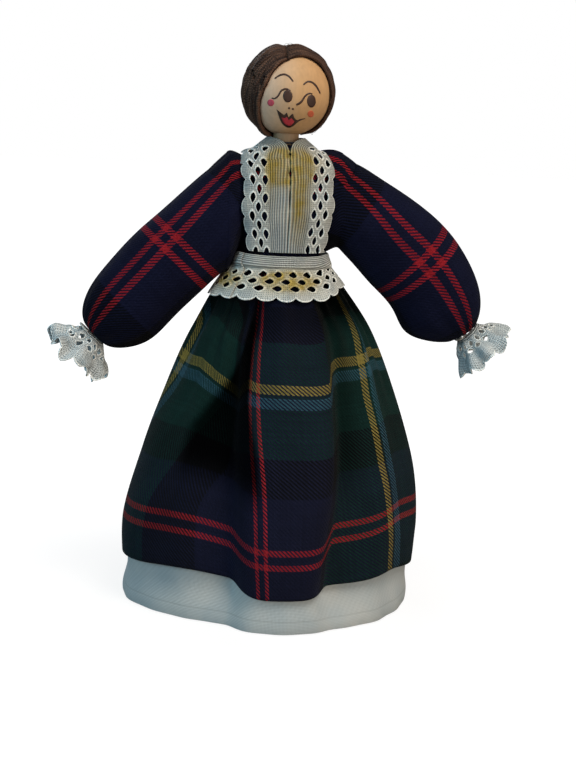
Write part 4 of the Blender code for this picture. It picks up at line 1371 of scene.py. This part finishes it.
def make_strands(rng):
    """Coarse strands from the parting round both sides, and fine stray ones."""
    paths, radii = [], []
    steps = np.linspace(0, 1, 40)

    def waver(slow, fast):
        return np.sin(steps * rng.uniform(slow, fast) + rng.uniform(0, 6))

    for side, far in ((1, 172), (-1, 176)):
        for number in range(STRANDS):
            level = (number + rng.uniform(0, 1)) / STRANDS
            width = rng.uniform(*STRAND_RADII)
            sweep = np.radians((far - 45 * level) * rng.uniform(0.8, 1.0))
            turn = np.radians(PARTING + side * rng.uniform(0, 5)) + side * sweep * steps
            edge = hair_line(turn) + width / HEAD_RADIUS
            behind = np.radians(152 + rng.uniform(-6, 6))
            share = np.clip(level * (0.75 + 0.25 * steps) + 0.35 * level * steps**3, 0, 1)
            polar = edge + (behind - edge) * share
            polar = polar + np.radians(1.6) * waver(7, 16) * min(1, level * 12 + 0.15)
            stand = np.maximum(0.25, hair_stand(turn) - 2 * width)
            depth = rng.uniform(0.0, 1.0) ** 0.7
            tuck = ease(steps * 9) * ease((1 - steps) * 7)
            lift = HEAD_RADIUS + width * 0.7 + 0.25 + depth * stand * tuck
            lift = lift + 0.16 * waver(9, 20) * tuck
            paths.append(HEAD + hair_way(polar, turn) * lift[:, None])
            radii.append(width * (0.55 + 0.45 * tuck) * (1 + 0.18 * np.sin(steps * rng.uniform(12, 30))))
    few = steps[::4]
    for _ in range(STRAYS):
        begin = np.radians(rng.uniform(-150, 150))
        turn = begin + np.radians(rng.uniform(-14, 14)) * few
        polar = np.radians(rng.uniform(70, 110)) + np.radians(rng.uniform(-10, 10)) * few
        off = hair_stand(turn) * (0.8 + rng.uniform(0.1, 0.45) * np.sin(np.pi * few))
        paths.append(HEAD + hair_way(polar, turn) * (HEAD_RADIUS + off)[:, None])
        radii.append(np.full(len(turn), STRAY_RADIUS))
    strands = add_tubes("hair_strands", paths, radii, HAIR)
    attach(strands, "head")


def make_roll(rng):
    """The roll of hair behind the head."""
    paths, radii = [], []
    half_width, half_depth, half_height = ROLL_HALF
    bend = np.linspace(0, 2 * np.pi * 1.15, 34)
    taper = np.sin(np.linspace(0.25, np.pi - 0.25, len(bend))) ** 0.3
    for number in range(ROLL_STRANDS):
        tilt = math.radians(-48 + 134 * (number + 0.5) / ROLL_STRANDS)
        size, bulge = math.cos(tilt), half_depth * math.sin(tilt)
        wobble = 0.25 * np.sin(3 * bend + rng.uniform(0, 6))
        phase = rng.uniform(0, 6.28)
        across = (half_width * size + wobble) * np.cos(bend + phase)
        behind = bulge + 0.2 * np.sin(2 * bend + phase) + 0.4 * bend / 6.28
        up = (half_height * size + wobble) * np.sin(bend + phase)
        paths.append(ROLL_MIDDLE + np.stack([across, behind, up], -1))
        radii.append(rng.uniform(*ROLL_RADII) * taper)
    roll = add_tubes("hair_roll", paths, radii, HAIR)
    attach(roll, "head")
    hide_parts("hair_bun")


def make_hair():
    rng = np.random.default_rng(HAIR_SEED)
    make_scalp()
    make_strands(rng)
    make_roll(rng)


# The CAD nodes that still show


def dress_nodes():
    looks = {
        "base_plate": WOOD,
        "spine_peg": SHADED_NECK_PAINT,
        "shoulder_wire": STEEL,
        "arm_wire_left": STEEL,
        "arm_wire_right": STEEL,
        "neck_tie": DARK_THREAD,
        "waist_tie": DARK_THREAD,
        "wrist_tie_left": THREAD,
        "wrist_tie_right": THREAD,
    }
    for name, look in looks.items():
        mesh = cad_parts[name].data
        mesh.materials.clear()
        mesh.materials.append(look)


# Camera, lights and floor


def add_camera():
    data = bpy.data.cameras.new("camera")
    data.sensor_fit = "VERTICAL"
    data.angle_y = CAMERA_ANGLE
    data.clip_start = 0.01
    camera = bpy.data.objects.new("camera", data)
    bpy.context.scene.collection.objects.link(camera)
    heading = -CAMERA_AZIMUTH + CAMERA_ASIDE
    turn = Matrix.Rotation(-heading, 4, "Z") @ Matrix.Rotation(math.pi / 2 - CAMERA_PITCH, 4, "X")
    place = Matrix.Translation(Vector(camera_place()) * MM)
    camera.matrix_world = place @ turn @ Matrix.Rotation(CAMERA_ROLL, 4, "Z")
    bpy.context.scene.camera = camera


def add_light(name, place, size, power, colour):
    data = bpy.data.lights.new(name, "AREA")
    data.shape = "DISK"
    data.size = size
    data.energy = power
    data.color = colour
    light = bpy.data.objects.new(name, data)
    bpy.context.scene.collection.objects.link(light)
    light.location = place
    aim = Vector((0, 0, 0.1)) - Vector(place)
    light.rotation_euler = aim.to_track_quat("-Z", "Y").to_euler()


def seen_by_camera(tree):
    return wired(tree, "ShaderNodeLightPath", "Is Camera Ray", {})


def add_floor():
    """A plain floor that glows towards the camera, so that it fades to white away from the doll."""
    made, tree, shader = new_material("pale_floor", (0.22, 0.22, 0.22), 0.9)
    space = object_space(tree)
    shade = remap(noise(space, 3.0, 2), 0.3, 0.7, 0.215, 0.225)
    colour_it(shader, (1, 1, 1), shade)
    feed(shader.inputs["Specular IOR Level"], 0.0)
    feed(shader.inputs["Emission Color"], (1, 1, 1))
    away = wired(tree, "ShaderNodeVectorMath", "Value", {0: space}, operation="LENGTH")
    glow = remap(away, 0.06, 0.2, FLOOR_GLOW, 1.0)
    feed(shader.inputs["Emission Strength"], seen_by_camera(tree) * glow)
    corners = np.array(((-1, -1, 0), (1, -1, 0), (1, 1, 0), (-1, 1, 0))) * FLOOR_HALF
    floor = add_mesh("floor", corners, [(0, 1, 2, 3)], made)


def add_sky():
    world = bpy.data.worlds.new("studio")
    world.use_nodes = True
    sky = world.node_tree.nodes["Background"]
    feed(sky.inputs["Color"], (1, 1, 1))
    feed(sky.inputs["Strength"], remap(seen_by_camera(world.node_tree), 0, 1, SKY_LIGHT, 1.0))
    bpy.context.scene.world = world


add_camera()
make_petticoat()
make_skirt()
make_body_filling()
make_bodice()
make_arm("right", 52, 28.5)
make_arm("left", 46, 39.0)
make_collar()
make_waist_lace()
make_cuff("left")
make_cuff("right")
make_head()
make_face()
make_hair()
dress_nodes()
add_floor()
add_sky()
add_light("key", (0.28, -0.46, 1.0), 0.6, 6.3, (1.0, 0.93, 0.84))
add_light("back", (-0.35, 0.85, 0.55), 0.6, 2.4, (0.92, 0.95, 1.0))
add_light("front", (0.5, -0.85, 0.22), 0.5, 3.7, (1.0, 0.86, 0.70))
add_light("fill", (-0.8, -0.45, 0.42), 0.6, 3.3, (0.44, 0.81, 1.0))

bpy.context.scene.view_settings.view_transform = "Standard"
